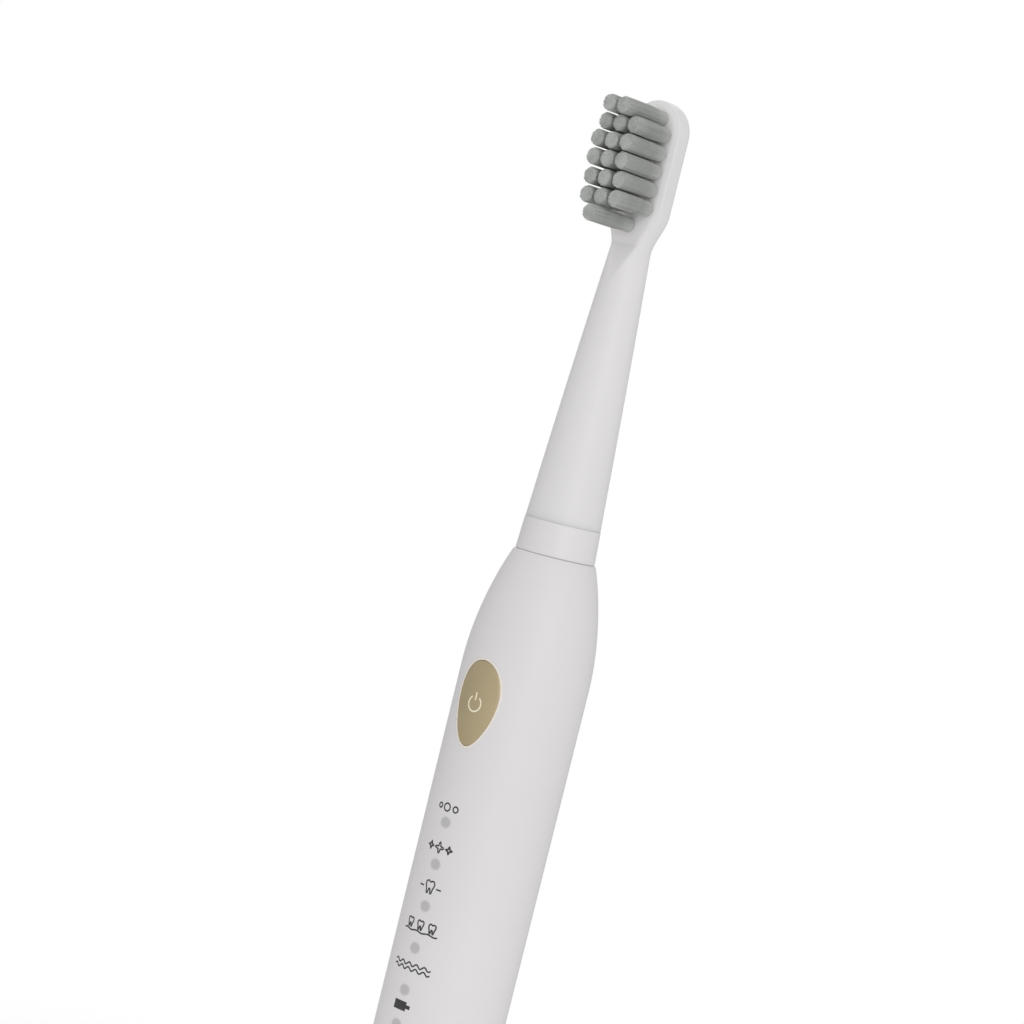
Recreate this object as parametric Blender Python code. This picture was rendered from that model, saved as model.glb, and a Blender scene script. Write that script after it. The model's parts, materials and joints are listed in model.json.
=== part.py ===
"""Electric toothbrush standing in its inductive charger, as an assembly of separate pieces.

The frame's origin is on the table under the middle of the charger. +Z is up, and -Y is the front:
the side of the bristles, the power button and the mode lights. Every size below is in millimetres,
and heights that start with SEAM are counted from the handle's top, where the brush head begins.
"""

import math

import bmesh
import bpy
from mathutils import Matrix, Vector

MM = 0.001
GAP = 0.3  # between two pieces that touch on the real object
FINE, MEDIUM, COARSE = 44, 24, 16  # sides of a round piece, by its size

# Overall
CHARGER_RADIUS = 26.0
CHARGER_HEIGHT = 18.8
SEAT = 18.0  # the floor of the shallow recess that the handle stands in
HANDLE_LENGTH = 155.0
HEAD_LENGTH = 89.5
HANDLE_BOTTOM = SEAT + GAP
SEAM = HANDLE_BOTTOM + HANDLE_LENGTH

# Handle
HANDLE_RADIUS = 12.55
HANDLE_BOTTOM_RADIUS = 12.2
HANDLE_TOP_RADIUS = 8.0
SHOULDER = 24.0
SHOULDER_FULLNESS = 0.88
WALL = 1.6
CAP_HEIGHT = 8.7
SOCKET_RADIUS, SOCKET_OUTER = 4.3, 5.5
SOCKET_DEPTH = 12.8

# Power button and mode lights on the front
BUTTON_LENGTH, BUTTON_WIDTH = 16.5, 9.6
BUTTON_MIDDLE = SEAM - 30.1
BUTTON_EGG = 0.21  # how much fuller the upper half is
BEZEL_WIDTH = 0.6
LIGHT_RADIUS = 1.0
LIGHT_PITCH = 8.2
LIGHT_FIRST = SEAM - 53.4
LIGHT_BATTERY = SEAM - 92.9
LIGHTS = [LIGHT_FIRST - LIGHT_PITCH * i for i in range(5)] + [LIGHT_BATTERY]

# Drive
SHAFT_RADIUS = 1.9
SHAFT_LOWER_RADIUS = 1.2
SHAFT_TOP = SEAM + 11.5
SHAFT_BOTTOM = SEAM - 30.9
MOTOR_RADIUS = 6.2
MOTOR_BOTTOM, MOTOR_TOP = SEAM - 50.0, SEAM - 14.0

# Brush head
RING_HEIGHT = 5.9
RING_BOTTOM_RADIUS, RING_TOP_RADIUS = 7.8, 7.48
NECK_BOTTOM = SEAM + 6.5
NECK_BOTTOM_RADIUS, NECK_TOP_RADIUS = 7.38, 3.92
NECK_TOP = SEAM + 60.3
FACE_START, FACE_END = SEAM + 53.0, SEAM + 61.1  # where the flat face leaves the round neck
PLATE_FROM = SEAM + 68.0
PLATE_HALF_WIDTH = 6.5
PLATE_FRONT, PLATE_BACK = -2.35, 2.4
PLATE_BACK_ROUNDING = 2.0
HEAD_TOP = SEAM + HEAD_LENGTH
TUFT_ROOT_RADIUS, TUFT_RADIUS = 1.15, 1.55
TUFT_HOLE_RADIUS, TUFT_HOLE_DEPTH = 1.45, 2.5
TUFT_PITCH = 3.55
TOP_ROW = SEAM + 85.8
# Each row's step down from the row above it, number of tufts and bristle length
TUFT_ROWS = [
    (0.0, 2, 12.2),
    (3.2, 3, 9.95),
    (TUFT_PITCH, 3, 11.1),
    (TUFT_PITCH, 3, 11.1),
    (TUFT_PITCH, 3, 10.5),
    (TUFT_PITCH, 3, 10.35),
    (TUFT_PITCH, 1, 12.5),
]

# Boards, battery and carrier inside the handle
BOARD_BACK, BOARD_FRONT = -6.6, -7.6
BATTERY_RADIUS, BATTERY_LENGTH = 7.0, 49.0
BATTERY_BOTTOM = HANDLE_BOTTOM + 23.0
BATTERY_AXIS_Y = 2.0

# Charger
SHELL_WALL = 1.8
POST_RADIUS, POST_TOP, POST_BOTTOM = 3.8, 29.5, 14.4
SEAT_RADIUS = 13.1
PLATE_BOTTOM, PLATE_TOP = 0.8, 3.2
PAD_INNER, PAD_OUTER, PAD_HEIGHT = 17.0, 22.0, 1.4
SCREW_CIRCLE = 12.0
SCREW_ANGLES = (30, 150, 270)
GLAND_HEIGHT = 8.5


# ---------------------------------------------------------------- tools


def clear_scene():
    for obj in list(bpy.data.objects):
        bpy.data.objects.remove(obj, do_unlink=True)


def material(name, colour, roughness, metallic=0.0):
    made = bpy.data.materials.new(name)
    made.use_nodes = True
    shader = made.node_tree.nodes["Principled BSDF"]
    shader.inputs["Base Color"].default_value = (*colour, 1.0)
    shader.inputs["Roughness"].default_value = roughness
    shader.inputs["Metallic"].default_value = metallic
    made.diffuse_color = (*colour, 1.0)
    return made


def add_mesh(name, bm, finish, at=(0, 0, 0)):
    """Makes the object of a bmesh that is in millimetres, placed at a point in millimetres."""
    bmesh.ops.remove_doubles(bm, verts=bm.verts, dist=1e-5)
    bmesh.ops.recalc_face_normals(bm, faces=bm.faces)
    bmesh.ops.scale(bm, vec=(MM, MM, MM), verts=bm.verts)
    mesh = bpy.data.meshes.new(name)
    bm.to_mesh(mesh)
    bm.free()
    mesh.shade_smooth()
    mesh.set_sharp_from_angle(angle=math.radians(35))
    obj = bpy.data.objects.new(name, mesh)
    bpy.context.scene.collection.objects.link(obj)
    obj.location = Vector(at) * MM
    if finish:
        mesh.materials.append(finish)
    return obj


def turned(name, profile, finish, sides=MEDIUM, at=(0, 0, 0), turn=None):
    """Spins a closed outline of (radius, height) points about Z. Points on the axis may end it."""
    bm = bmesh.new()
    verts = [bm.verts.new((radius, 0, height)) for radius, height in profile]
    pairs = zip(verts, verts[1:] + verts[:1])
    edges = [
        bm.edges.new(pair) for pair in pairs if pair[0].co.x + pair[1].co.x > 0
    ]
    bmesh.ops.spin(
        bm, geom=verts + edges, cent=(0, 0, 0), axis=(0, 0, 1),
        angle=math.tau, steps=sides, use_merge=True,
    )
    if turn:
        bmesh.ops.transform(bm, matrix=turn, verts=bm.verts)
    return add_mesh(name, bm, finish, at)


def rod(name, radius, low, high, finish, sides=COARSE, at=(0, 0, 0), turn=None):
    profile = [(0, low), (radius, low), (radius, high), (0, high)]
    return turned(name, profile, finish, sides, at, turn)


def ring(name, inner, outer, low, high, finish, sides=MEDIUM, at=(0, 0, 0)):
    profile = [(inner, low), (outer, low), (outer, high), (inner, high)]
    return turned(name, profile, finish, sides, at)


def prism(name, outline, low, high, finish, turn=None, at=(0, 0, 0)):
    """Extrudes a closed 2-D outline along Z, then turns it."""
    bm = bmesh.new()
    face = bm.faces.new([bm.verts.new((x, y, low)) for x, y in outline])
    grown = bmesh.ops.extrude_face_region(bm, geom=[face])
    top = [v for v in grown["geom"] if isinstance(v, bmesh.types.BMVert)]
    bmesh.ops.translate(bm, vec=(0, 0, high - low), verts=top)
    if turn:
        bmesh.ops.transform(bm, matrix=turn, verts=bm.verts)
    return add_mesh(name, bm, finish, at)


def block(name, low, high, finish):
    """A box between two corners."""
    outline = [(low[0], low[1]), (high[0], low[1]), (high[0], high[1]), (low[0], high[1])]
    return prism(name, outline, low[2], high[2], finish)


def helper(obj):
    """Marks an object as a cutter or an addition: it isn't a piece of its own."""
    obj.hide_render = True
    obj.display_type = "WIRE"
    return obj


def combine(obj, other, operation):
    modifier = obj.modifiers.new(operation.title(), "BOOLEAN")
    modifier.operation = operation
    modifier.solver = "EXACT"
    modifier.object = helper(other)
    return obj


def cut(obj, other):
    return combine(obj, other, "DIFFERENCE")


def join(obj, other):
    return combine(obj, other, "UNION")


def keep_inside(obj, other):
    return combine(obj, other, "INTERSECT")


def arc(centre, radius, start, end, steps):
    """Points on an arc, with angles in degrees."""
    points = []
    for i in range(steps + 1):
        angle = math.radians(start + (end - start) * i / steps)
        points.append(
            (centre[0] + radius * math.cos(angle), centre[1] + radius * math.sin(angle))
        )
    return points


FORWARD = Matrix.Rotation(math.radians(90), 4, "X")  # turns +Z to the front, -Y


def smooth_step(low, high, value):
    share = min(1.0, max(0.0, (value - low) / (high - low)))
    return share * share * (3 - 2 * share)


# ---------------------------------------------------------------- shapes that pieces share


def handle_radius(height):
    """The handle's outer radius: a slight taper, then the shoulder up to the seam."""
    below = SEAM - height
    if below >= SHOULDER:
        share = (height - HANDLE_BOTTOM) / (HANDLE_LENGTH - SHOULDER)
        return HANDLE_BOTTOM_RADIUS + (HANDLE_RADIUS - HANDLE_BOTTOM_RADIUS) * share
    rise = math.sin(math.pi / 2 * (below / SHOULDER) ** SHOULDER_FULLNESS)
    return HANDLE_TOP_RADIUS + (HANDLE_RADIUS - HANDLE_TOP_RADIUS) * rise


def egg(margin, steps=24):
    """The power button's outline grown by a margin, as (across, up) points about its middle."""
    half_length = BUTTON_LENGTH / 2 + margin
    half_width = BUTTON_WIDTH / 2 + margin
    points = []
    for i in range(steps):
        angle = math.tau * i / steps
        up = math.sin(angle)
        across = math.cos(angle) * (1 + BUTTON_EGG * up)
        points.append((across * half_width / (1 + BUTTON_EGG**2 / 2), up * half_length))
    return points


def egg_prism(name, margin, near, far, finish=None):
    """The egg as a prism that points forward, from near to far in front of the axis."""
    return prism(name, egg(margin), near, far, finish, FORWARD, (0, 0, BUTTON_MIDDLE))


def neck_radius(height):
    share = (height - NECK_BOTTOM) / (NECK_TOP - NECK_BOTTOM)
    fullness = 0.1 * math.sin(math.pi * min(1.0, share))
    return NECK_BOTTOM_RADIUS + (NECK_TOP_RADIUS - NECK_BOTTOM_RADIUS) * share + fullness


# ---------------------------------------------------------------- charger


def charger_shell(white):
    """The puck: outer skin, the shallow seat that the handle stands in, hollow below."""
    inner = CHARGER_RADIUS - SHELL_WALL
    ceiling, floor = CHARGER_HEIGHT - SHELL_WALL, SEAT - SHELL_WALL
    hole, rounding = POST_RADIUS + GAP, 5.0
    profile = [(hole, SEAT), (SEAT_RADIUS, SEAT), (SEAT_RADIUS, CHARGER_HEIGHT - 0.4)]
    profile += [(SEAT_RADIUS + 0.4, CHARGER_HEIGHT)]
    corner = (CHARGER_RADIUS - rounding, CHARGER_HEIGHT - rounding)
    profile += arc(corner, rounding, 90, 0, 5)
    profile += [(CHARGER_RADIUS, PLATE_BOTTOM), (inner, PLATE_BOTTOM)]
    profile += arc(corner, rounding - SHELL_WALL, 0, 90, 2)
    profile += [(SEAT_RADIUS + SHELL_WALL, ceiling), (SEAT_RADIUS + SHELL_WALL, floor)]
    profile += [(hole, floor)]
    shell = turned("charger_shell", profile, white, FINE)
    for i, angle in enumerate(SCREW_ANGLES):
        boss = rod(f"boss_{i}", 2.8, PLATE_TOP + GAP, floor + 0.6, None, 12, screw_place(angle))
        join(shell, boss)
    for i, angle in enumerate(SCREW_ANGLES):
        pilot = rod(f"pilot_{i}", 1.5, PLATE_TOP, 12.0, None, 12, screw_place(angle))
        cut(shell, pilot)
    outlet = rod(
        "outlet", 3.0, -CHARGER_RADIUS - 2, -CHARGER_RADIUS + 4, None,
        at=(0, 0, GLAND_HEIGHT), turn=FORWARD,
    )
    return cut(shell, outlet)


def charging_post(white):
    """The post that enters the handle's socket: a closed tube with a snap lip under the seat."""
    top, flange = POST_TOP, SEAT - SHELL_WALL - GAP
    profile = [(0, top), (POST_RADIUS - 0.9, top)]
    profile += arc((POST_RADIUS - 0.9, top - 0.9), 0.9, 60, 0, 2)
    profile += [(POST_RADIUS, flange), (POST_RADIUS + 0.7, flange)]
    profile += [(POST_RADIUS + 0.7, POST_BOTTOM), (2.5, POST_BOTTOM), (2.5, top - 1.6)]
    return turned("charging_post", profile + [(0, top - 1.6)], white)


def screw_place(angle):
    turn = math.radians(angle)
    return (SCREW_CIRCLE * math.cos(turn), SCREW_CIRCLE * math.sin(turn), 0)


def charger_base_plate(grey):
    """The bottom cover, with a groove for the foot pad and counterbored screw holes."""
    radius = CHARGER_RADIUS - SHELL_WALL - GAP
    profile = [(0, PLATE_BOTTOM), (PAD_INNER - GAP, PLATE_BOTTOM)]
    groove = PAD_HEIGHT + GAP
    profile += [(PAD_INNER - GAP, groove), (PAD_OUTER + GAP, groove)]
    profile += [(PAD_OUTER + GAP, PLATE_BOTTOM), (radius, PLATE_BOTTOM)]
    profile += [(radius, PLATE_TOP), (0, PLATE_TOP)]
    plate = turned("charger_base_plate", profile, grey, FINE)
    for i, angle in enumerate(SCREW_ANGLES):
        at = screw_place(angle)
        bore = [(0, 0), (2.6, 0), (2.6, 2.1), (1.5, 2.1), (1.5, 4), (0, 4)]
        cut(plate, turned(f"screw_bore_{i}", bore, None, 12, at))
    return plate


def cover_screw(number, angle, steel):
    """A pan-head screw with a cross slot, from below into the shell's boss."""
    profile = [(0, 1.0), (2.3, 1.0), (2.3, 1.8), (1.2, 1.8), (1.2, 10.0), (0, 10.9)]
    screw = turned(f"cover_screw_{number}", profile, steel, 12, screw_place(angle))
    x, y, _ = screw_place(angle)
    for name, half_x, half_y in (("slot_a", 1.3, 0.25), ("slot_b", 0.25, 1.3)):
        slot = block(
            f"{name}_{number}", (x - half_x, y - half_y, 0.5), (x + half_x, y + half_y, 1.5), None
        )
        cut(screw, slot)
    return screw


def charger_foot_pad(rubber):
    return turned(
        "charger_foot_pad",
        [(PAD_INNER, 0), (PAD_OUTER, 0), (PAD_OUTER, PAD_HEIGHT), (PAD_INNER, PAD_HEIGHT)],
        rubber, FINE,
    )


def charger_electronics(copper, ferrite, board_green, chip_black):
    """The primary coil on its ferrite core, whose rod stands in the post, and the board."""
    low = 4.6
    core = [(0, low), (7.6, low), (7.6, low + 1.6), (2.2, low + 1.6), (2.2, 27.5), (0, 27.5)]
    turned("ferrite_core", core, ferrite)
    top = POST_BOTTOM - 0.4
    bumps = [(7.4 - 0.2 * (i % 2), top - (top - 6.5) * i / 4) for i in range(5)]
    turned("primary_coil", [(2.5, 6.5), (2.5, top)] + bumps, copper)
    board = ring("charger_circuit_board", 8.2, 22.5, low, low + 1.4, board_green)
    for i, angle in enumerate(SCREW_ANGLES):
        cut(board, rod(f"board_hole_{i}", 3.2, low - 1, low + 3, None, 12, screw_place(angle)))
    top = low + 1.4
    join(board, rod("smoothing_capacitor", 2.6, top - 0.4, top + 7.0, None, at=(-17.0, 8.0, 0)))
    join(board, block("driver_chip", (12.0, -13.0, top - 0.4), (17.0, -8.0, top + 1.3), None))
    join(board, block("lead_connector", (-3.5, 14.0, top - 0.4), (3.5, 19.0, top + 3.0), None))
    board.data.materials.append(chip_black)


def cord_gland(rubber):
    """The grommet in the charger's rear wall that the supply lead would pass through."""
    bore, neck, flange = 1.7, 2.7, 3.8
    low, high = CHARGER_RADIUS - 3.4, CHARGER_RADIUS - 0.2
    profile = [(bore, -high), (neck, -high), (neck, -low - 0.9), (flange, -low - 0.9)]
    profile += [(flange, -low), (bore, -low)]
    return turned("cord_gland", profile, rubber, COARSE, (0, 0, GLAND_HEIGHT), FORWARD)


def build_charger(m):
    charger_shell(m["white"])
    charging_post(m["white"])
    charger_base_plate(m["light_grey"])
    charger_foot_pad(m["rubber"])
    for number, angle in enumerate(SCREW_ANGLES, 1):
        cover_screw(number, angle, m["steel"])
    charger_electronics(m["copper"], m["ferrite"], m["board"], m["black"])
    cord_gland(m["rubber"])


# ---------------------------------------------------------------- handle


def handle_shell(white):
    """The one-piece outer case, open at the bottom, with openings for shaft, button and lights."""
    low = HANDLE_BOTTOM + CAP_HEIGHT + GAP
    straight = [low, SEAM - 75, SEAM - SHOULDER - 4]
    curved = [SEAM - SHOULDER * (1 - i / 8) ** 1.15 for i in range(8)]
    heights = straight + curved
    profile = [(handle_radius(z), z) for z in heights]
    profile += [(HANDLE_TOP_RADIUS + 0.1, SEAM - 0.25), (HANDLE_TOP_RADIUS - 0.3, SEAM)]
    profile += [(5.3, SEAM), (5.3, SEAM - 2.0)]
    inner = [z for z in heights if z < SEAM - 3.5]
    profile += [(handle_radius(SEAM - 2.6) - WALL, SEAM - 2.0)]
    profile += [(handle_radius(z) - WALL, z) for z in reversed(inner)]
    half_facet = Matrix.Rotation(math.pi / FINE, 4, "Z")
    shell = turned("handle_shell", profile, white, FINE, turn=half_facet)
    cut(shell, egg_prism("button_opening", GAP + BEZEL_WIDTH + GAP, 6.0, 16.0))
    for i, z in enumerate(LIGHTS):
        hole = rod(f"light_hole_{i}", LIGHT_RADIUS + GAP, 8.0, 15.0, None, 12, (0, 0, z), FORWARD)
        cut(shell, hole)
    return shell


def base_cap(white):
    """The bottom cap: a rounded skirt with a hole for the socket, and a spigot with a seal groove."""
    z = HANDLE_BOTTOM
    spigot = handle_radius(z + CAP_HEIGHT) - WALL - GAP
    hole = SOCKET_OUTER + GAP
    profile = [(hole, z + 0.3), (hole + 0.3, z)]
    profile += arc((HANDLE_BOTTOM_RADIUS - 2.2, z + 2.2), 2.2, -90, 0, 4)
    profile += [(handle_radius(z + CAP_HEIGHT), z + CAP_HEIGHT), (spigot, z + CAP_HEIGHT)]
    profile += [(spigot, z + 10.2), (spigot - 1.1, z + 10.2), (spigot - 1.1, z + 11.8)]
    profile += [(spigot, z + 11.8), (spigot, z + 13.6), (spigot - 1.8, z + 13.6)]
    profile += [(spigot - 1.8, z + 2.0), (hole, z + 2.0)]
    return turned("base_cap", profile, white, FINE)


def charging_socket(white):
    """The blind tube that the charger's post enters, and that the receiver coil is wound on."""
    z, top = HANDLE_BOTTOM, HANDLE_BOTTOM + SOCKET_DEPTH
    profile = [(SOCKET_RADIUS, z + 0.6), (SOCKET_RADIUS + 0.4, z + 0.1)]
    profile += [(SOCKET_OUTER - 0.2, z + 0.1), (SOCKET_OUTER, z + 0.3), (SOCKET_OUTER, z + 2.3)]
    profile += [(SOCKET_OUTER + 2.4, z + 2.3), (SOCKET_OUTER + 2.4, z + 3.2)]
    profile += [(SOCKET_OUTER, z + 3.2), (SOCKET_OUTER, top + 1.2), (0, top + 1.2)]
    return turned("charging_socket", profile + [(0, top), (SOCKET_RADIUS, top)], white)


def base_cap_seal(rubber):
    middle = handle_radius(HANDLE_BOTTOM + CAP_HEIGHT) - WALL - GAP - 0.4
    profile = arc((middle, HANDLE_BOTTOM + 11.0), 0.45, 0, 300, 5)
    return turned("base_cap_seal", profile, rubber, MEDIUM)


def receiver_coil(copper):
    low, high, turns = HANDLE_BOTTOM + 3.5, HANDLE_BOTTOM + 12.5, 4
    bumps = [(8.2 - 0.2 * (i % 2), high - (high - low) * i / turns) for i in range(turns + 1)]
    inner = SOCKET_OUTER + GAP
    return turned("receiver_coil", [(inner, low), (inner, high)] + bumps, copper)


def carrier_outline(radius, front):
    """A D: round behind, about the battery's axis, with a flat front."""
    points = arc((0, BATTERY_AXIS_Y), radius, -20, 200, 12)
    side = radius * 0.86
    return points + [(-side, front), (side, front)]


def chassis(grey):
    """The inner carrier that holds the battery behind the board."""
    low, high = HANDLE_BOTTOM + 15.3, MOTOR_BOTTOM - 0.8
    frame = prism("chassis", carrier_outline(8.4, -6.2), low, high, grey)
    cut(frame, prism("battery_room", carrier_outline(7.3, -5.3), low + 1.2, high + 1, None))
    for i, middle in enumerate((low + 20, low + 48, low + 75)):
        window = block(f"window_{i}", (-4.5, 4.0, middle - 8), (4.5, 14.0, middle + 8), None)
        cut(frame, window)
    cut(frame, block("wire_slot", (-2.0, -9.0, low - 1), (2.0, -4.0, low + 5), None))
    return frame


def battery_cell(wrap):
    low, high = BATTERY_BOTTOM, BATTERY_BOTTOM + BATTERY_LENGTH
    profile = [(0, low), (BATTERY_RADIUS - 0.5, low), (BATTERY_RADIUS, low + 0.5)]
    profile += [(BATTERY_RADIUS, high - 0.5), (BATTERY_RADIUS - 0.5, high), (2.6, high)]
    profile += [(2.6, high + 0.9), (0, high + 0.9)]
    return turned("battery_cell", profile, wrap, MEDIUM, (0, BATTERY_AXIS_Y, 0))


def battery_tab(name, low, nickel):
    """A welded nickel strip across one end of the cell, with its ear bent along the side."""
    y = BATTERY_AXIS_Y
    tab = block(name, (-2.5, y - 3.0, low), (2.5, y + 6.0, low + 0.4), nickel)
    join(tab, block(name + "_ear", (-1.2, y - 5.5, low), (1.2, y - 2.5, low + 0.4), None))
    return tab


def circuit_board(green):
    """The control board along the front, with the mode lights, a chip and the sense coil pad."""
    low, high = HANDLE_BOTTOM + 19.0, SEAM - 19.0
    board = block("circuit_board", (-6.3, BOARD_FRONT, low), (6.3, BOARD_BACK, high), green)
    face = BOARD_FRONT - 0.4
    for i, z in enumerate(LIGHTS):
        lamp = block(f"lamp_{i}", (-0.7, face, z - 0.7), (0.7, BOARD_FRONT + 0.3, z + 0.7), None)
        join(board, lamp)
    chip = block("chip", (2.4, face - 0.3, SEAM - 78), (5.6, BOARD_FRONT + 0.3, SEAM - 70), None)
    join(board, chip)
    driver = block("driver", (-5.6, face - 0.3, low + 6), (-2.4, BOARD_FRONT + 0.3, low + 11), None)
    join(board, driver)
    for i, side in enumerate((-1, 1)):
        screw_hole = rod(
            f"board_screw_hole_{i}", 0.9, 5.0, 9.0, None, 12, (side * 4.6, 0, low + 3), FORWARD
        )
        cut(board, screw_hole)
    return board


def tact_switch(black):
    """The board's push switch behind the power button."""
    z, back = BUTTON_MIDDLE, BOARD_FRONT - GAP
    switch = block("tact_switch", (-2.6, back - 1.3, z - 2.6), (2.6, back, z + 2.6), black)
    join(switch, rod("switch_plunger", 0.9, 8.5, -back + 1.4, None, 12, (0, 0, z), FORWARD))
    return switch


def light_guide(clear):
    """One clear moulding: a strip over the lamps with a peg out to each mode light."""
    strip_back = BOARD_FRONT - 0.4 - 0.2
    strip_front = strip_back - 1.0
    low, high = LIGHTS[-1] - 2.4, LIGHTS[0] + 2.4
    guide = block("light_guide", (-1.6, strip_front, low), (1.6, strip_back, high), clear)
    for i, z in enumerate(LIGHTS):
        end = handle_radius(z) - 0.05
        join(guide, rod(f"peg_{i}", LIGHT_RADIUS, 9.0, end, None, 10, (0, 0, z), FORWARD))
    return guide


def surface_sleeve(name, inner, outer):
    """A tube around the handle's axis past the button, to give its pieces the handle's curve."""
    low, high = BUTTON_MIDDLE - 12, BUTTON_MIDDLE + 12
    return ring(name, inner, outer, low, high, None, FINE)


def button_bezel(pearl):
    margin = GAP + BEZEL_WIDTH
    bezel = egg_prism("button_bezel", margin, 8.0, 15.0, pearl)
    cut(bezel, egg_prism("bezel_inside", GAP, 6.0, 16.0))
    return keep_inside(bezel, surface_sleeve("bezel_sleeve", 10.7, HANDLE_RADIUS + 0.2))


def power_button(gold):
    """The egg-shaped cap, curved like the handle, with the stem that presses the switch."""
    button = egg_prism("power_button", 0.0, 8.0, 15.0, gold)
    keep_inside(button, surface_sleeve("button_sleeve", 11.2, HANDLE_RADIUS + 0.1))
    stem = rod("button_stem", 1.5, 10.8, 11.6, None, 12, (0, 0, BUTTON_MIDDLE), FORWARD)
    return join(button, stem)


def button_membrane(rubber):
    """The rubber membrane between the button's stem and the switch."""
    outline = [(x * 0.64, y * 0.72) for x, y in egg(0.0, 16)]
    return prism(
        "button_membrane", outline, 9.6, 10.0, rubber, FORWARD, (0, 0, BUTTON_MIDDLE)
    )


def shaft_seal(rubber):
    """The rubber boot that closes the handle's top around the shaft."""
    inner = SHAFT_RADIUS + GAP
    profile = [(inner, SEAM - 3.0), (6.2, SEAM - 3.0), (6.2, SEAM - 2.3), (5.0, SEAM - 2.3)]
    profile += [(5.0, SEAM), (4.3, SEAM + 0.45), (2.9, SEAM + 0.45), (inner, SEAM + 0.1)]
    return turned("shaft_seal", profile, rubber, MEDIUM)


def build_motor(m):
    """The drive: steel can, pole core with its coil, two bearings and the centring spring."""
    outer, inner = MOTOR_RADIUS, MOTOR_RADIUS - 0.6
    can = [(inner, MOTOR_BOTTOM), (outer, MOTOR_BOTTOM), (outer, MOTOR_TOP), (3.2, MOTOR_TOP)]
    can += [(3.2, MOTOR_TOP - 0.8), (inner, MOTOR_TOP - 0.8)]
    turned("motor_housing", can, m["steel"])

    low = SEAM - 47.0
    core = rod("stator_core", 5.2, low, low + 3.0, m["ferrite"], MEDIUM)
    join(core, rod("core_post", 1.6, low + 2.0, SEAM - 31.5, None))
    for name, middle in (("pole_left", 180), ("pole_right", 0)):
        outline = arc((0, 0), 5.2, middle - 35, middle + 35, 8)
        outline += arc((0, 0), 3.9, middle + 35, middle - 35, 8)
        join(core, prism(name, outline, low + 2.0, SEAM - 19.0, None))

    bottom, top, turns = SEAM - 43.6, SEAM - 32.0, 4
    bumps = [(3.6 - 0.12 * (i % 2), top - (top - bottom) * i / turns) for i in range(turns + 1)]
    turned("drive_coil", [(1.9, bottom), (1.9, top)] + bumps, m["copper"])

    bush = [(2.0, SEAM - 17.0), (2.9, SEAM - 17.0), (2.9, SEAM - 13.7), (4.4, SEAM - 13.7)]
    bush += [(4.4, SEAM - 12.9), (2.0, SEAM - 12.9)]
    turned("upper_bearing", bush, m["bronze"])
    ring("lower_bearing", 1.35, 3.4, SEAM - 31.2, SEAM - 29.5, m["bronze"])
    centring_spring(m["steel"])


def centring_spring(steel):
    """A short torsion spring around the shaft that brings it back to the middle."""
    turns, radius, wire, low, rise = 3, 2.6, 0.2, SEAM - 19.6, 2.0
    steps = turns * 10
    curve = bpy.data.curves.new("centring_spring", "CURVE")
    curve.dimensions = "3D"
    curve.bevel_depth = wire * MM
    curve.bevel_resolution = 1
    curve.use_fill_caps = True
    line = curve.splines.new("POLY")
    line.points.add(steps)
    for i, point in enumerate(line.points):
        angle = math.tau * turns * i / steps
        x, y, z = radius * math.cos(angle), radius * math.sin(angle), low + rise * i / steps
        point.co = (x * MM, y * MM, z * MM, 1)
    obj = bpy.data.objects.new("centring_spring", curve)
    bpy.context.scene.collection.objects.link(obj)
    curve.materials.append(steel)
    return obj


def build_handle(m):
    handle_shell(m["white"])
    base_cap(m["white"])
    charging_socket(m["white"])
    base_cap_seal(m["rubber"])
    receiver_coil(m["copper"])
    chassis(m["light_grey"])
    battery_cell(m["wrap"])
    battery_tab("battery_tab_bottom", BATTERY_BOTTOM - 0.7, m["steel"])
    battery_tab("battery_tab_top", BATTERY_BOTTOM + BATTERY_LENGTH + 1.2, m["steel"])
    circuit_board(m["board"])
    tact_switch(m["black"])
    light_guide(m["clear"])
    button_bezel(m["pearl"])
    power_button(m["gold"])
    button_membrane(m["rubber"])
    shaft_seal(m["rubber"])
    build_motor(m)


# ---------------------------------------------------------------- drive shaft


def build_shaft(m):
    """The stepped steel shaft with its D-shaped tip, and the rotor on its lower end."""
    step = SEAM - 18.0
    profile = [(0, SHAFT_BOTTOM), (SHAFT_LOWER_RADIUS, SHAFT_BOTTOM), (SHAFT_LOWER_RADIUS, step)]
    profile += [(SHAFT_RADIUS, step), (SHAFT_RADIUS, SHAFT_TOP - 0.5), (1.4, SHAFT_TOP)]
    shaft = turned("drive_shaft", profile + [(0, SHAFT_TOP)], m["steel"], MEDIUM)
    cut(shaft, block("shaft_flat", (-3, -4, SEAM + 3.0), (3, -1.35, SHAFT_TOP + 2), None))

    low, high = SEAM - 28.5, SEAM - 20.2
    ring("rotor_yoke", SHAFT_LOWER_RADIUS + 0.2, 2.5, low, high, m["ferrite"])
    for name, middle in (("magnet_left", 180), ("magnet_right", 0)):
        outline = arc((0, 0), 3.6, middle - 40, middle + 40, 8)
        outline += arc((0, 0), 2.7, middle + 40, middle - 40, 8)
        prism(name, outline, low, high, m["magnet"])


# ---------------------------------------------------------------- brush head


def colour_ring(white):
    """The snap ring at the head's foot, which tells one person's head from another's."""
    low, high = SEAM + 0.35, SEAM + RING_HEIGHT + 0.3
    profile = [(5.9, low), (RING_BOTTOM_RADIUS - 0.5, low), (RING_BOTTOM_RADIUS, low + 0.6)]
    profile += [(RING_TOP_RADIUS, high), (5.9, high)]
    return turned("colour_ring", profile, white, FINE)


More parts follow.
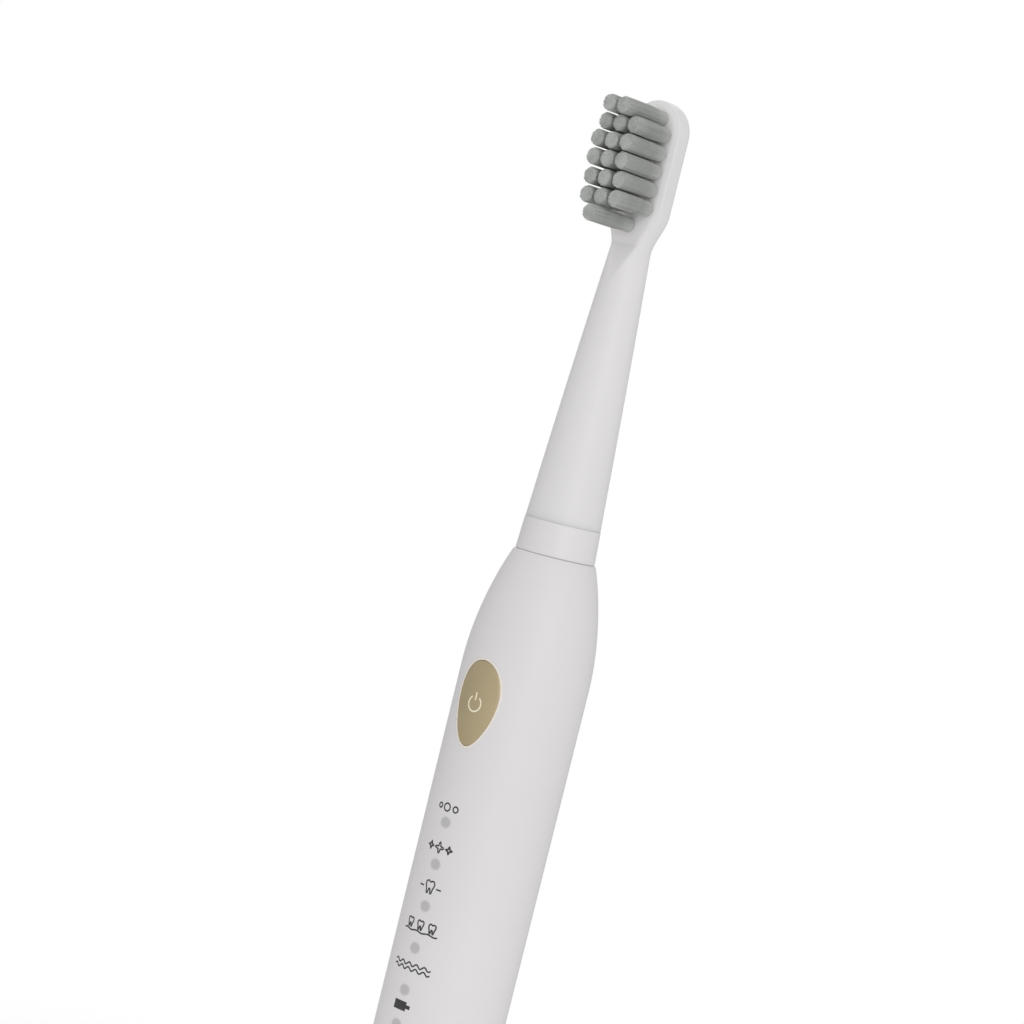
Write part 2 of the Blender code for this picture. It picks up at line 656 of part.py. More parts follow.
def plate_half_width(height, depth):
    """Half the bristle plate's width at a height, where its back rounding has reached depth."""
    rounding_from = PLATE_BACK - PLATE_BACK_ROUNDING
    inset = 0.0
    if depth > rounding_from:
        reach = min(1.0, (depth - rounding_from) / PLATE_BACK_ROUNDING)
        inset = PLATE_BACK_ROUNDING * (1 - math.sqrt(1 - reach * reach))
    above = max(0.0, height - (HEAD_TOP - PLATE_HALF_WIDTH))
    room = (PLATE_HALF_WIDTH - inset) ** 2 - above**2
    return math.sqrt(room) if room > 0 else 0.0


def plate_back_depth(height):
    """How far back the plate reaches at a height: all the way, until its top rounds over."""
    above = max(0.0, height - (HEAD_TOP - PLATE_HALF_WIDTH))
    inset = min(PLATE_BACK_ROUNDING, PLATE_HALF_WIDTH - above)
    reach = math.sqrt(1 - (1 - inset / PLATE_BACK_ROUNDING) ** 2)
    return PLATE_BACK - PLATE_BACK_ROUNDING * (1 - reach)


def plate_section(height, points):
    """One side of the plate's section, from its front edge round to the middle of its back."""
    back = plate_back_depth(height)
    section = []
    for i in range(points + 1):
        turn = math.pi / 2 * i / points
        depth = PLATE_FRONT + (back - PLATE_FRONT) * math.sin(turn)
        across = plate_half_width(height, depth) if i < points else 0.0
        section.append((across, depth))
    return section


def neck_section(height, points):
    """One side of the neck's round section, from the edge of its flat face to its back."""
    radius = neck_radius(min(height, NECK_TOP))
    face_angle = 0.0
    if height > FACE_START:
        share = min(1.0, (height - FACE_START) / (FACE_END - FACE_START))
        half_width = share * math.sqrt(radius**2 - PLATE_FRONT**2)
        face_angle = math.asin(half_width / radius)
    section = []
    for i in range(points + 1):
        angle = face_angle + (math.pi - face_angle) * i / points
        section.append((radius * math.sin(angle), -radius * math.cos(angle)))
    return section


def head_section(height, points=9):
    """The head's whole section at a height: round on the neck, flat-faced on the plate."""
    round_side = neck_section(height, points)
    flat_side = plate_section(height, points)
    share = smooth_step(NECK_TOP, PLATE_FROM, height)
    side = []
    for (x0, y0), (x1, y1) in zip(round_side, flat_side):
        side.append((x0 + (x1 - x0) * share, y0 + (y1 - y0) * share))
    mirrored = [(-x, y) for x, y in reversed(side[:-1])]
    return side + mirrored


def head_heights():
    heights = [NECK_BOTTOM, SEAM + 24, SEAM + 40, FACE_START + 0.1]
    heights += [FACE_START + 2.6, FACE_START + 5.4, FACE_END, SEAM + 62.4, SEAM + 64, SEAM + 66]
    heights += [PLATE_FROM]
    centre = HEAD_TOP - PLATE_HALF_WIDTH
    return heights + [
        centre + PLATE_HALF_WIDTH * math.sin(math.radians(angle))
        for angle in (0, 18, 36, 52, 66, 78)
    ]


def brush_head_body(white):
    """Neck and bristle plate in one moulding, lofted through its sections."""
    bm = bmesh.new()
    loops = []
    for height in head_heights():
        loops.append([bm.verts.new((x, y, height)) for x, y in head_section(height)])
    for lower, upper in zip(loops, loops[1:]):
        for i in range(len(lower)):
            j = (i + 1) % len(lower)
            bm.faces.new((lower[i], lower[j], upper[j], upper[i]))
    bm.faces.new(loops[0])
    bm.faces.new(loops[-1])
    body = add_mesh("brush_head_body", bm, white)
    join(body, rod("head_spigot", 5.6, SEAM + 0.8, NECK_BOTTOM + 0.5, None, MEDIUM))
    bore = [(0, SEAM), (2.9, SEAM), (2.9, SEAM + 12.3), (2.2, SEAM + 12.3), (2.2, SEAM + 14)]
    cut(body, turned("shaft_bore", bore + [(0, SEAM + 14)], None, COARSE))
    for number, (x, z, _) in enumerate(tuft_places(), 1):
        near, far = -PLATE_FRONT - TUFT_HOLE_DEPTH, -PLATE_FRONT + 3
        hole = rod(
            f"tuft_hole_{number}", TUFT_HOLE_RADIUS, near, far, None, 10, (x, 0, z), FORWARD
        )
        cut(body, hole)
    return body


def shaft_clip(steel):
    """The split spring sleeve in the head's bore that grips the shaft."""
    outline = arc((0, 0), 2.6, -60, 240, 20) + arc((0, 0), 2.1, 240, -60, 20)
    return prism("shaft_clip", outline, SEAM + 2.0, SEAM + 12.0, steel)


def tuft_places():
    """(across, height, bristle length) of each tuft, row by row from the top."""
    places, height = [], TOP_ROW
    for step, count, length in TUFT_ROWS:
        height -= step
        for i in range(count):
            places.append(((i - (count - 1) / 2) * TUFT_PITCH, height, length))
    return places


def bristle_tuft(number, x, z, length, nylon):
    """One bundle of bristles: its root narrows into the hole, and its tip is rounded off."""
    face = -PLATE_FRONT
    root, tip = face - TUFT_HOLE_DEPTH + GAP, face + length
    profile = [(0, root), (TUFT_ROOT_RADIUS, root), (TUFT_ROOT_RADIUS, face + 0.3)]
    profile += [(TUFT_RADIUS, face + 0.7), (TUFT_RADIUS, tip - 0.5), (TUFT_ROOT_RADIUS, tip)]
    profile += [(0, tip)]
    return turned(f"bristle_tuft_{number:02d}", profile, nylon, 10, (x, 0, z), FORWARD)


def build_head(m):
    brush_head_body(m["white"])
    colour_ring(m["white"])
    shaft_clip(m["steel"])
    for number, (x, z, length) in enumerate(tuft_places(), 1):
        bristle_tuft(number, x, z, length, m["nylon"])


# ---------------------------------------------------------------- everything


def main():
    clear_scene()
    finishes = {
        "white": material("white_plastic", (0.80, 0.79, 0.79), 0.35),
        "light_grey": material("grey_plastic", (0.55, 0.55, 0.56), 0.5),
        "nylon": material("grey_green_nylon", (0.33, 0.36, 0.33), 0.5),
        "gold": material("gold_button", (0.42, 0.36, 0.22), 0.35, 0.6),
        "pearl": material("pearl_rim", (0.83, 0.78, 0.70), 0.25, 0.2),
        "rubber": material("grey_rubber", (0.30, 0.31, 0.31), 0.8),
        "clear": material("frosted_light_guide", (0.58, 0.57, 0.57), 0.4),
        "steel": material("steel", (0.60, 0.60, 0.61), 0.3, 1.0),
        "bronze": material("sintered_bronze", (0.55, 0.36, 0.18), 0.5, 1.0),
        "copper": material("copper_winding", (0.72, 0.36, 0.18), 0.4, 1.0),
        "ferrite": material("ferrite", (0.12, 0.12, 0.13), 0.6),
        "magnet": material("magnet", (0.45, 0.45, 0.47), 0.35, 1.0),
        "board": material("circuit_board", (0.03, 0.20, 0.08), 0.5),
        "black": material("black_plastic", (0.03, 0.03, 0.03), 0.5),
        "wrap": material("battery_wrap", (0.05, 0.16, 0.42), 0.4),
    }
    build_charger(finishes)
    build_handle(finishes)
    build_shaft(finishes)
    build_head(finishes)


main()
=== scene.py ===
"""The looks of an electric toothbrush that stands in its inductive charger.

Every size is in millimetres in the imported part's own frame: +Z up, and -Y the front, where the
bristles, the power button and the mode lights are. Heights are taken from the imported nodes.
"""

import json
import math
import random

import bmesh
import bpy
from mathutils import Matrix, Vector


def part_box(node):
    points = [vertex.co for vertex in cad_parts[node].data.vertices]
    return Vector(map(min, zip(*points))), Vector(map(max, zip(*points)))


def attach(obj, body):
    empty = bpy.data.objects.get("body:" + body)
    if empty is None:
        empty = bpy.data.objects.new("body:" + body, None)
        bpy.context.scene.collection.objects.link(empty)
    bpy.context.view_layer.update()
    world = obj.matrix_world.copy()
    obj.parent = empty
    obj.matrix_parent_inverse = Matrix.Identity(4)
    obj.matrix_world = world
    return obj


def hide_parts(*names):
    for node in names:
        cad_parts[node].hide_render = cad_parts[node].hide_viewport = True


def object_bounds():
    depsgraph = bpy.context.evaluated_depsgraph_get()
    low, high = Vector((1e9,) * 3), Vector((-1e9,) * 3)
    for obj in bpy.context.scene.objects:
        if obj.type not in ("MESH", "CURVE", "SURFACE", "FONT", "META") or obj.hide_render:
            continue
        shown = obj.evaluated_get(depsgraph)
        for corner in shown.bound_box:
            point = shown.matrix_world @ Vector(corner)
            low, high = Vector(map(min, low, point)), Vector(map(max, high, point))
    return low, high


MM = 0.001

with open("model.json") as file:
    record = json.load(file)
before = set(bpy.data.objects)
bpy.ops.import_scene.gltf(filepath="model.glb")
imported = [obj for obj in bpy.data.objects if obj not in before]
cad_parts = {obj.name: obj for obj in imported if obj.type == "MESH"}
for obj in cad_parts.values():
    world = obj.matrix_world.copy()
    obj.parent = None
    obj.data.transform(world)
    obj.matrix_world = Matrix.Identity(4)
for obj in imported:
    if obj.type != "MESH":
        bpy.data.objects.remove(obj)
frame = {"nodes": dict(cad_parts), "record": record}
cad_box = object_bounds()
record = frame["record"]


def low(node):
    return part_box(node)[0] / MM


def high(node):
    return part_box(node)[1] / MM


# ---------------------------------------------------------------- sizes

SEAM = high("handle_shell").z
SHELL_BOTTOM = low("handle_shell").z
CAP_BOTTOM = low("base_cap").z
HEAD_TOP = high("brush_head_body").z
BUTTON_LOW, BUTTON_HIGH = low("power_button"), high("power_button")
BUTTON_MIDDLE = (BUTTON_LOW.z + BUTTON_HIGH.z) / 2
BUTTON_LENGTH = BUTTON_HIGH.z - BUTTON_LOW.z
BUTTON_WIDTH = BUTTON_HIGH.x - BUTTON_LOW.x

HANDLE_RADIUS, HANDLE_TOP_RADIUS = 12.55, 8.0
HANDLE_BOTTOM_RADIUS = high("base_cap").x
SHOULDER, SHOULDER_FULLNESS = 24.0, 0.88
WALL = 1.6
MOUTH_RADIUS, MOUTH_DEPTH, BOOT_SEAT_RADIUS = 5.3, 2.0, 6.6
CAP_GAP, CASE_OVERLAP = 0.3, 0.18
SOCKET_BORE, SOCKET_RADIUS, SOCKET_FLANGE = 4.3, 5.5, 7.9
SHAFT_RADIUS, SHAFT_GROOVE, SHAFT_FLAT, SHAFT_BODY = 1.9, 1.75, 1.35, 1.2

BUTTON_EGG = 0.21
BUTTON_OPENING = 0.42
BUTTON_RISE, SKIRT_DEPTH = 0.06, 1.15
BEZEL_GAP, BEZEL_WIDTH, BEZEL_HEIGHT = 0.06, 0.44, 0.17

LIGHTS = [SEAM - 53.4 - 8.2 * i for i in range(5)] + [SEAM - 92.9]
LIGHT_RADIUS, LIGHT_STRETCH, LIGHT_DEPTH = 1.15, 1.15, 0.3
MARKS = [SEAM - 50.55 - 7.77 * i for i in range(5)]
BATTERY_MARK = SEAM - 89.2
MARK_LINE = 0.30

NECK_BOTTOM = SEAM + 6.5
NECK_TOP = SEAM + 60.3
NECK_BOTTOM_RADIUS, NECK_TOP_RADIUS = 7.38, 3.92
FACE_START, FACE_END = SEAM + 53.0, SEAM + 61.1
PLATE_FROM = SEAM + 68.0
PLATE_HALF_WIDTH = 6.5
PLATE_FRONT, PLATE_BACK, PLATE_BACK_ROUNDING = -2.35, 2.4, 2.0
EDGE_INSET, EDGE_DEPTH = 1.5, 0.7
NECK_BULGE, NECK_ROUNDING = 0.1, 0.07
SPIGOT_RADIUS, BORE_RADIUS, SHAFT_HOLE = 5.55, 2.95, 2.2
TUFT_RADIUS, TUFT_HOLE_RADIUS, TUFT_HOLE_DEPTH = 1.68, 1.37, 2.2
TUFT_CROWN, TIP_UNEVENNESS = 0.26, 0.13

CHARGER_RADIUS = high("charger_shell").x
CHARGER_TOP = high("charger_shell").z
CHARGER_WALL = 1.8
SEAT, SEAT_RADIUS = CHARGER_TOP - 0.8, 13.1
POST_RADIUS, POST_HOLE, POST_LIP, POST_BORE = 3.8, 4.0, 4.5, 2.5
FOOT_BORE = 17.0
OUTLET_RADIUS, GLAND_RADIUS, GLAND_FLANGE, CORD_HOLE = 2.95, 2.85, 3.8, 1.7


# ---------------------------------------------------------------- camera, floor and lights


def put(name, data):
    """Puts a new object in the scene."""
    obj = bpy.data.objects.new(name, data)
    bpy.context.scene.collection.objects.link(obj)
    return obj


def make_camera():
    """The viewing angle: 40 degrees round from the front, level with the neck, rolled."""
    azimuth, distance, height = math.radians(39.95), 582.2, SEAM + 25.0
    aim_height, aim_side, roll, focal = SEAM + 6.34, -10.03, math.radians(13.85), 106.82
    side = Vector((math.cos(azimuth), math.sin(azimuth), 0))
    place = Vector((distance * math.sin(azimuth), -distance * math.cos(azimuth), height))
    forward = (Vector((0, 0, aim_height)) + side * aim_side - place).normalized()
    right = forward.cross(Vector((0, 0, 1))).normalized()
    up = right.cross(forward)
    rolled_right = right * math.cos(roll) + up * math.sin(roll)
    rolled_up = up * math.cos(roll) - right * math.sin(roll)
    turn = Matrix((rolled_right, rolled_up, -forward)).transposed()
    data = bpy.data.cameras.new("camera")
    data.lens, data.sensor_width = focal, 36.0
    data.clip_start, data.clip_end = 0.01, 20.0
    camera = put("camera", data)
    camera.matrix_world = Matrix.Translation(place * MM) @ turn.to_4x4()
    bpy.context.scene.camera = camera


def softbox(name, azimuth, elevation, distance, size, power):
    """A square area light, in metres and watts, that aims at the middle of the toothbrush."""
    aim = Vector((0, 0, 0.14))
    data = bpy.data.lights.new(name, "AREA")
    data.shape, data.size, data.energy = "SQUARE", size, power
    light = put(name, data)
    a, e = math.radians(azimuth), math.radians(elevation)
    out = Vector((math.sin(a) * math.cos(e), -math.cos(a) * math.cos(e), math.sin(e)))
    light.location = aim + out * distance
    light.rotation_mode = "QUATERNION"
    light.rotation_quaternion = (-out).to_track_quat("-Z", "Y")


def make_world():
    """White behind everything, and a soft fill that is a little brighter on the right-hand side."""
    bright_side, level, slope = (0.81, -0.53, 0.26), 0.61, 0.19
    world = bpy.data.worlds.new("studio")
    bpy.context.scene.world = world
    world.use_nodes = True
    tree = world.node_tree
    tree.nodes.clear()
    around = add_node(tree, "TexCoord").outputs["Generated"]
    towards = add_node(tree, "VectorMath", {0: around, 1: bright_side}, operation="DOT_PRODUCT")
    inputs = {0: towards.outputs["Value"], 1: slope, 2: level}
    strength = add_node(tree, "Math", inputs, operation="MULTIPLY_ADD").outputs[0]
    fill = add_node(tree, "Background", {"Color": (1.0, 0.995, 0.995, 1), "Strength": strength})
    seen = add_node(tree, "Background", {"Color": (1, 1, 1, 1), "Strength": 1.0})
    camera_ray = add_node(tree, "LightPath").outputs["Is Camera Ray"]
    mix = add_node(tree, "MixShader", {0: camera_ray, 1: fill.outputs[0], 2: seen.outputs[0]})
    add_node(tree, "OutputWorld", {"Surface": mix.outputs[0]})


def make_floor():
    """A pale round floor, in metres, whose rim melts into the white background."""
    floor_radius, fade_start, fade_end = 0.34, 0.14, 0.33
    bm = bmesh.new()
    bmesh.ops.create_circle(bm, cap_ends=True, segments=128, radius=floor_radius)
    mesh = bpy.data.meshes.new("floor")
    bm.to_mesh(mesh)
    bm.free()
    floor = put("floor", mesh)
    floor.location = (0, 0, cad_box[0].z)
    pale = Finish("pale_floor", (0.9, 0.9, 0.9), 0.9, specular=0.1)
    pale.set("Emission Color", (1, 1, 1, 1)).set("Emission Strength", 0.14)
    away = pale.add("VectorMath", {0: pale.where}, operation="LENGTH").outputs["Value"]
    inputs = {"Value": away, "From Min": fade_start, "From Max": fade_end}
    fade = pale.add("MapRange", inputs, interpolation_type="SMOOTHSTEP").outputs["Result"]
    clear = pale.add("BsdfTransparent").outputs[0]
    mix = pale.add("MixShader", {0: fade, 1: pale.shader.outputs[0], 2: clear})
    output = pale.tree.nodes["Material Output"]
    pale.tree.links.new(mix.outputs[0], output.inputs["Surface"])
    mesh.materials.append(pale.made)


def make_stage():
    make_world()
    make_floor()
    softbox("key", 56, 14, 1.3, 0.8, 2.7)
    softbox("top_fill", 262, 62, 1.4, 1.0, 3.0)
    softbox("back_fill", 225, 30, 1.6, 1.0, 2.0)
    bpy.context.scene.view_settings.view_transform = "Standard"


# ---------------------------------------------------------------- materials


def add_node(tree, kind, inputs=None, **settings):
    """Adds a node. Each input is given as a number, or as another node's output to link."""
    node = tree.nodes.new("ShaderNode" + kind)
    for name, value in settings.items():
        setattr(node, name, value)
    for name, value in (inputs or {}).items():
        if isinstance(value, bpy.types.NodeSocket):
            tree.links.new(value, node.inputs[name])
        else:
            node.inputs[name].default_value = value
    return node


class Finish:
    """A Principled material with its nodes, built step by step."""

    def __init__(self, name, colour, roughness, metallic=0.0, specular=0.5):
        self.made = bpy.data.materials.new(name)
        self.made.use_nodes = True
        self.made.diffuse_color = (*colour, 1)
        self.tree = self.made.node_tree
        self.shader = self.tree.nodes["Principled BSDF"]
        self.set("Base Color", (*colour, 1)).set("Roughness", roughness)
        self.set("Metallic", metallic).set("Specular IOR Level", specular)
        self.colour, self.roughness = colour, roughness
        self.where = self.add("TexCoord").outputs["Object"]
        self.height = None

    def add(self, kind, inputs=None, **settings):
        return add_node(self.tree, kind, inputs, **settings)

    def set(self, socket, value):
        self.shader.inputs[socket].default_value = value
        return self

    def link(self, value, socket):
        self.tree.links.new(value, self.shader.inputs[socket])
        return self

    def noise(self, scale, detail, stretch=(1, 1, 1)):
        place = self.add("Mapping", {"Vector": self.where, "Scale": stretch}).outputs[0]
        return self.add("TexNoise", {"Vector": place, "Scale": scale, "Detail": detail}).outputs["Fac"]

    def wave(self, scale, distortion):
        """Bands across Z."""
        inputs = {"Vector": self.where, "Scale": scale, "Distortion": distortion}
        return self.add("TexWave", inputs, wave_type="BANDS", bands_direction="Z").outputs["Fac"]

    def axis(self, letter):
        return self.add("SeparateXYZ", {0: self.where}).outputs[letter]

    def ramp(self, value, start, end, low_value, high_value):
        limits = {"From Min": start, "From Max": end, "To Min": low_value, "To Max": high_value}
        return self.add("MapRange", {"Value": value, **limits}).outputs["Result"]

    def combine(self, operation, first, second):
        return self.add("Math", {0: first, 1: second}, operation=operation).outputs[0]

    def vary_roughness(self, scale, amount, stretch=(1, 1, 1)):
        value = self.noise(scale, 4.0, stretch)
        limits = self.roughness - amount, self.roughness + amount
        return self.link(self.ramp(value, 0.3, 0.7, *limits), "Roughness")

    def vary_colour(self, scale, second, low_edge=0.35, high_edge=0.65, stretch=(1, 1, 1)):
        """Drifts between the base colour and a second colour."""
        share = self.ramp(self.noise(scale, 4.0, stretch), low_edge, high_edge, 0.0, 1.0)
        return self.mix_colour(share, second)

    def mix_colour(self, share, second):
        into = self.shader.inputs["Base Color"]
        first = into.links[0].from_socket if into.links else (*self.colour, 1)
        mix = self.add("Mix", {"Factor": share, "A": first, "B": (*second, 1)}, data_type="RGBA")
        return self.link(mix.outputs["Result"], "Base Color")

    def bump(self, value, depth, strength):
        """Adds a bump whose full height is depth, in millimetres."""
        inputs = {"Height": value, "Distance": depth * MM, "Strength": strength}
        if self.height:
            inputs["Normal"] = self.height
        self.height = self.add("Bump", inputs).outputs["Normal"]
        return self.link(self.height, "Normal")


def white_plastic(name, colour=(0.796, 0.781, 0.787), roughness=0.42):
    """Moulded ABS: a fine eggshell texture, a little waviness and faint unevenness of gloss."""
    f = Finish(name, colour, roughness, specular=0.38)
    f.vary_roughness(260, 0.045).vary_colour(45, tuple(c * 0.982 for c in colour))
    f.bump(f.noise(5200, 2.0), 0.004, 0.35).bump(f.noise(90, 2.0), 0.03, 0.12)
    return f


THIN = (1, 1, 0.25)

# Slot, name, colour, roughness, metallic and specular; then the gloss, the second colour, the
# grain and the bump, as vary_roughness, vary_colour, noise and bump take them.
PLAIN_FINISHES = [
    ("grey_plastic", "grey_plastic", (0.55, 0.55, 0.56), 0.55,
     (300, 0.05), (60, (0.52, 0.52, 0.53)), (2600, 3.0), (0.02, 0.5)),
    ("cream_symbol", "cream_symbol", (1.0, 0.92, 0.72), 0.35,
     (1500, 0.06), (900, (0.96, 0.87, 0.67)), (5000, 2.0), (0.003, 0.5)),
    ("printed_ink", "printed_ink", (0.035, 0.035, 0.038), 0.5,
     (2200, 0.08), (1500, (0.05, 0.05, 0.053), 0.45, 0.8), (9000, 2.0), (0.003, 0.6)),
    ("grey_rubber", "grey_rubber", (0.27, 0.28, 0.28), 0.78, 0.0, 0.3,
     (400, 0.06), (120, (0.23, 0.24, 0.24)), (3800, 4.0), (0.02, 0.6)),
    ("bronze", "sintered_bronze", (0.55, 0.37, 0.19), 0.5, 1.0,
     (1200, 0.1), (900, (0.42, 0.27, 0.13)), (6000, 3.0), (0.01, 0.6)),
    ("ferrite", "ferrite", (0.085, 0.085, 0.09), 0.6,
     (900, 0.08), (1500, (0.15, 0.15, 0.155)), (4000, 4.0), (0.02, 0.7)),
    ("magnet", "magnet_plating", (0.60, 0.60, 0.58), 0.22, 1.0,
     (800, 0.06), (300, (0.52, 0.52, 0.50)), (5000, 2.0), (0.004, 0.5)),
    ("circuit_board", "solder_mask", (0.02, 0.16, 0.07), 0.36, (700, 0.06),
     (650, (0.03, 0.24, 0.10), 0.48, 0.52, THIN), (1500, 1.0, THIN), (0.03, 0.5)),
    ("black_plastic", "black_plastic", (0.022, 0.022, 0.023), 0.5,
     (700, 0.06), (500, (0.035, 0.035, 0.036)), (3500, 3.0), (0.02, 0.6)),
    ("battery_wrap", "battery_wrap", (0.03, 0.12, 0.38), 0.28,
     (300, 0.05), (120, (0.035, 0.14, 0.43)), (350, 3.0, (1, 1, 0.3)), (0.05, 0.4)),
]


def make_materials():
    m = {}
    m["white_plastic"] = white_plastic("white_plastic").made
    m["head"] = head_plastic_with_painted_light()
    m["ring"] = white_plastic("ring_plastic", (0.803, 0.788, 0.793), 0.34).made
    m["charger_white"] = white_plastic("charger_plastic", (0.80, 0.795, 0.795), 0.36).made

    f = Finish("gold_button", (0.572, 0.476, 0.29), 0.38, 0.75, 0.5)
    f.vary_roughness(900, 0.05).vary_colour(160, (0.545, 0.45, 0.27))
    f.bump(f.noise(7000, 2.0), 0.004, 0.5)
    f.bump(f.noise(900, 3.0, (0.15, 1.0, 1.0)), 0.003, 0.5)
    f.set("Coat Weight", 0.25).set("Coat Roughness", 0.22)
    m["gold"] = f.made

    f = Finish("pearl_rim", (0.89, 0.835, 0.76), 0.26, 0.05)
    f.vary_roughness(700, 0.05).vary_colour(300, (0.87, 0.81, 0.73))
    f.set("Coat Weight", 0.5).set("Coat Roughness", 0.12)
    m["pearl"] = f.bump(f.noise(3000, 2.0), 0.003, 0.5).made

    nylon = Finish("grey_green_nylon", (0.39, 0.405, 0.385), 0.5, specular=0.3)
    along = nylon.add("Attribute", attribute_name="along").outputs["Fac"]
    # Painted light: the filaments are made lighter towards the root, to lift the shade that the plate
    # and the packed tuft give there.
    root = nylon.ramp(along, 0.42, 0.0, 0.0, 1.0)
    # Painted glow: lighter towards the tips, standing in for light that comes through the fibre ends.
    painted_glow_near_tip = nylon.ramp(along, 0.72, 0.97, 0.0, 0.22)
    # Painted highlight: the rounded tips are made lightest.
    tip = nylon.ramp(along, 0.974, 0.984, 0.0, 1.0)
    nylon.mix_colour(root, (0.68, 0.69, 0.665)).mix_colour(painted_glow_near_tip, (0.70, 0.725, 0.70))
    nylon.mix_colour(tip, (0.73, 0.755, 0.73))
    nylon.vary_colour(420, (0.47, 0.485, 0.46), 0.45, 0.95).vary_roughness(1800, 0.08)
    m["nylon"] = nylon.bump(nylon.noise(4200, 3.0, (1.0, 0.08, 1.0)), 0.02, 0.5).made

    m["shaft_steel"] = turned_steel("shaft_steel", (0.62, 0.62, 0.63), 0.27)
    m["steel"] = turned_steel("screw_steel", (0.55, 0.55, 0.56), 0.33)
    f = Finish("copper_winding", (0.72, 0.33, 0.15), 0.34, 1.0)
    f.vary_colour(400, (0.60, 0.24, 0.10)).vary_roughness(500, 0.06)
    m["copper_winding"] = f.bump(f.wave(900, 1.0), 0.08, 0.9).made
    for slot, *look, gloss, drift, grain, bump in PLAIN_FINISHES:
        f = Finish(*look).vary_roughness(*gloss).vary_colour(*drift)
        m[slot] = f.bump(f.noise(*grain), *bump).made
    m["light"] = frosted_light()
    return m


def head_plastic_with_painted_light():
    """The head's translucent white, with painted light on the flat face that the tufts stand on: the
    face is made near-white to lift the shade that the tufts cast on it.
    """
    head = white_plastic("head_plastic_with_painted_light", (0.815, 0.804, 0.807), 0.38)
    plate = head.ramp(head.axis("Z"), (SEAM + 61) * MM, (SEAM + 67) * MM, 0.0, 1.0)
    face = head.ramp(head.axis("Y"), (PLATE_FRONT + 0.23) * MM, (PLATE_FRONT + 0.02) * MM, 0.0, 1.0)
    # Painted light: the flat face beside and between the tufts is mixed to near-white, in place of the
    # shade the tufts cast there.
    head.mix_colour(head.combine("MULTIPLY", plate, face), (0.985, 0.975, 0.98))
    head.set("Subsurface Weight", 0.4).set("Subsurface Scale", 0.004)
    return head.set("Subsurface Radius", (1.0, 0.95, 0.92)).made


def turned_steel(name, colour, roughness):
    """Ground steel with fine lines around the axis."""
    f = Finish(name, colour, roughness, 1.0)
    lines = (0.05, 0.05, 2.0)
    f.vary_roughness(1500, 0.03, lines)
    f.vary_colour(1500, tuple(c * 0.94 for c in colour), stretch=lines)
    return f.bump(f.noise(2500, 3.0, lines), 0.003, 0.4).made


def frosted_light():
    """The unlit mode lights: grey spots behind frosted plastic, soft at the edge."""
    f = Finish("frosted_light", (0.796, 0.781, 0.787), 0.42, specular=0.38)
    narrow = (1 / LIGHT_STRETCH, 1, 1)
    narrowed = f.add("VectorMath", {0: f.where, 1: narrow}, operation="MULTIPLY").outputs[0]
    inner, outer, share = LIGHT_RADIUS * 0.72 * MM, LIGHT_RADIUS * 1.14 * MM, None
    for z in LIGHTS:
        centre = (0, -HANDLE_RADIUS * MM, z * MM)
        apart = f.add("VectorMath", {0: narrowed, 1: centre}, operation="DISTANCE").outputs["Value"]
        spot = f.ramp(apart, inner, outer, 1.0, 0.0)
        share = f.combine("MAXIMUM", share, spot) if share else spot
    f.mix_colour(share, (0.55, 0.54, 0.545)).vary_roughness(600, 0.05)
    return f.bump(f.noise(5200, 2.0), 0.004, 0.35).made


# ---------------------------------------------------------------- mesh tools


def add(name, verts, faces, finish, body=None, sharp=35.0, weighted=True):
    """Makes a smooth-shaded object of millimetre points, closed and with faces outward."""
    mesh = bpy.data.meshes.new(name)
    mesh.from_pydata([(x * MM, y * MM, z * MM) for x, y, z in verts], [], faces)
    bm = bmesh.new()
    bm.from_mesh(mesh)
    bmesh.ops.remove_doubles(bm, verts=bm.verts, dist=1e-7)
    bmesh.ops.recalc_face_normals(bm, faces=bm.faces)
    bm.to_mesh(mesh)
    bm.free()
    mesh.shade_smooth()
    mesh.set_sharp_from_angle(angle=math.radians(sharp))
    if finish:
        mesh.materials.append(finish)
    obj = put(name, mesh)
    if weighted:
        modifier = obj.modifiers.new("normals", "WEIGHTED_NORMAL")
        modifier.keep_sharp = True
    if body:
        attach(obj, body)
    return obj


def fillet(profile, steps=5):
    """Rounds the corners of an outline of (radius, height, corner radius) points."""
    rounded, count = [], len(profile)
    for i, (r, z, radius) in enumerate(profile):
        here = Vector((r, z))
        if radius <= 0:
            rounded.append((r, z))
            continue
        before = Vector(profile[i - 1][:2]) - here
        after = Vector(profile[(i + 1) % count][:2]) - here
        half = before.angle(after) / 2
        back = min(radius / math.tan(half), 0.49 * before.length, 0.49 * after.length)
        start, end = here + before.normalized() * back, here + after.normalized() * back
        for k in range(steps + 1):
            t = k / steps
            point = start * (1 - t) ** 2 + here * 2 * t * (1 - t) + end * t**2
            rounded.append((point.x, point.y))
    return rounded


def lathe_data(profile, sides):
    verts, faces, rows = [], [], []
    for r, z in profile:
        if abs(r) < 1e-6:
            rows.append([len(verts)] * sides)
            verts.append((0, 0, z))
            continue
        rows.append(list(range(len(verts), len(verts) + sides)))
        for k in range(sides):
            angle = math.tau * k / sides
            verts.append((r * math.cos(angle), r * math.sin(angle), z))
    for i, lower in enumerate(rows):
        upper = rows[(i + 1) % len(rows)]
        for k in range(sides):
            j = (k + 1) % sides
            corners = []
            for v in (lower[k], lower[j], upper[j], upper[k]):
                if v not in corners:
                    corners.append(v)
            if len(corners) > 2:
                faces.append(corners)
    return verts, faces


def lathe(name, profile, finish, body, sides, steps=5, replaces=()):
    """Turns a closed outline of (radius, height, corner radius) about Z."""
    verts, faces = lathe_data(fillet(profile, steps), sides)
    obj = add(name, verts, faces, finish, body)
    if replaces:
        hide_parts(*replaces)
    return obj


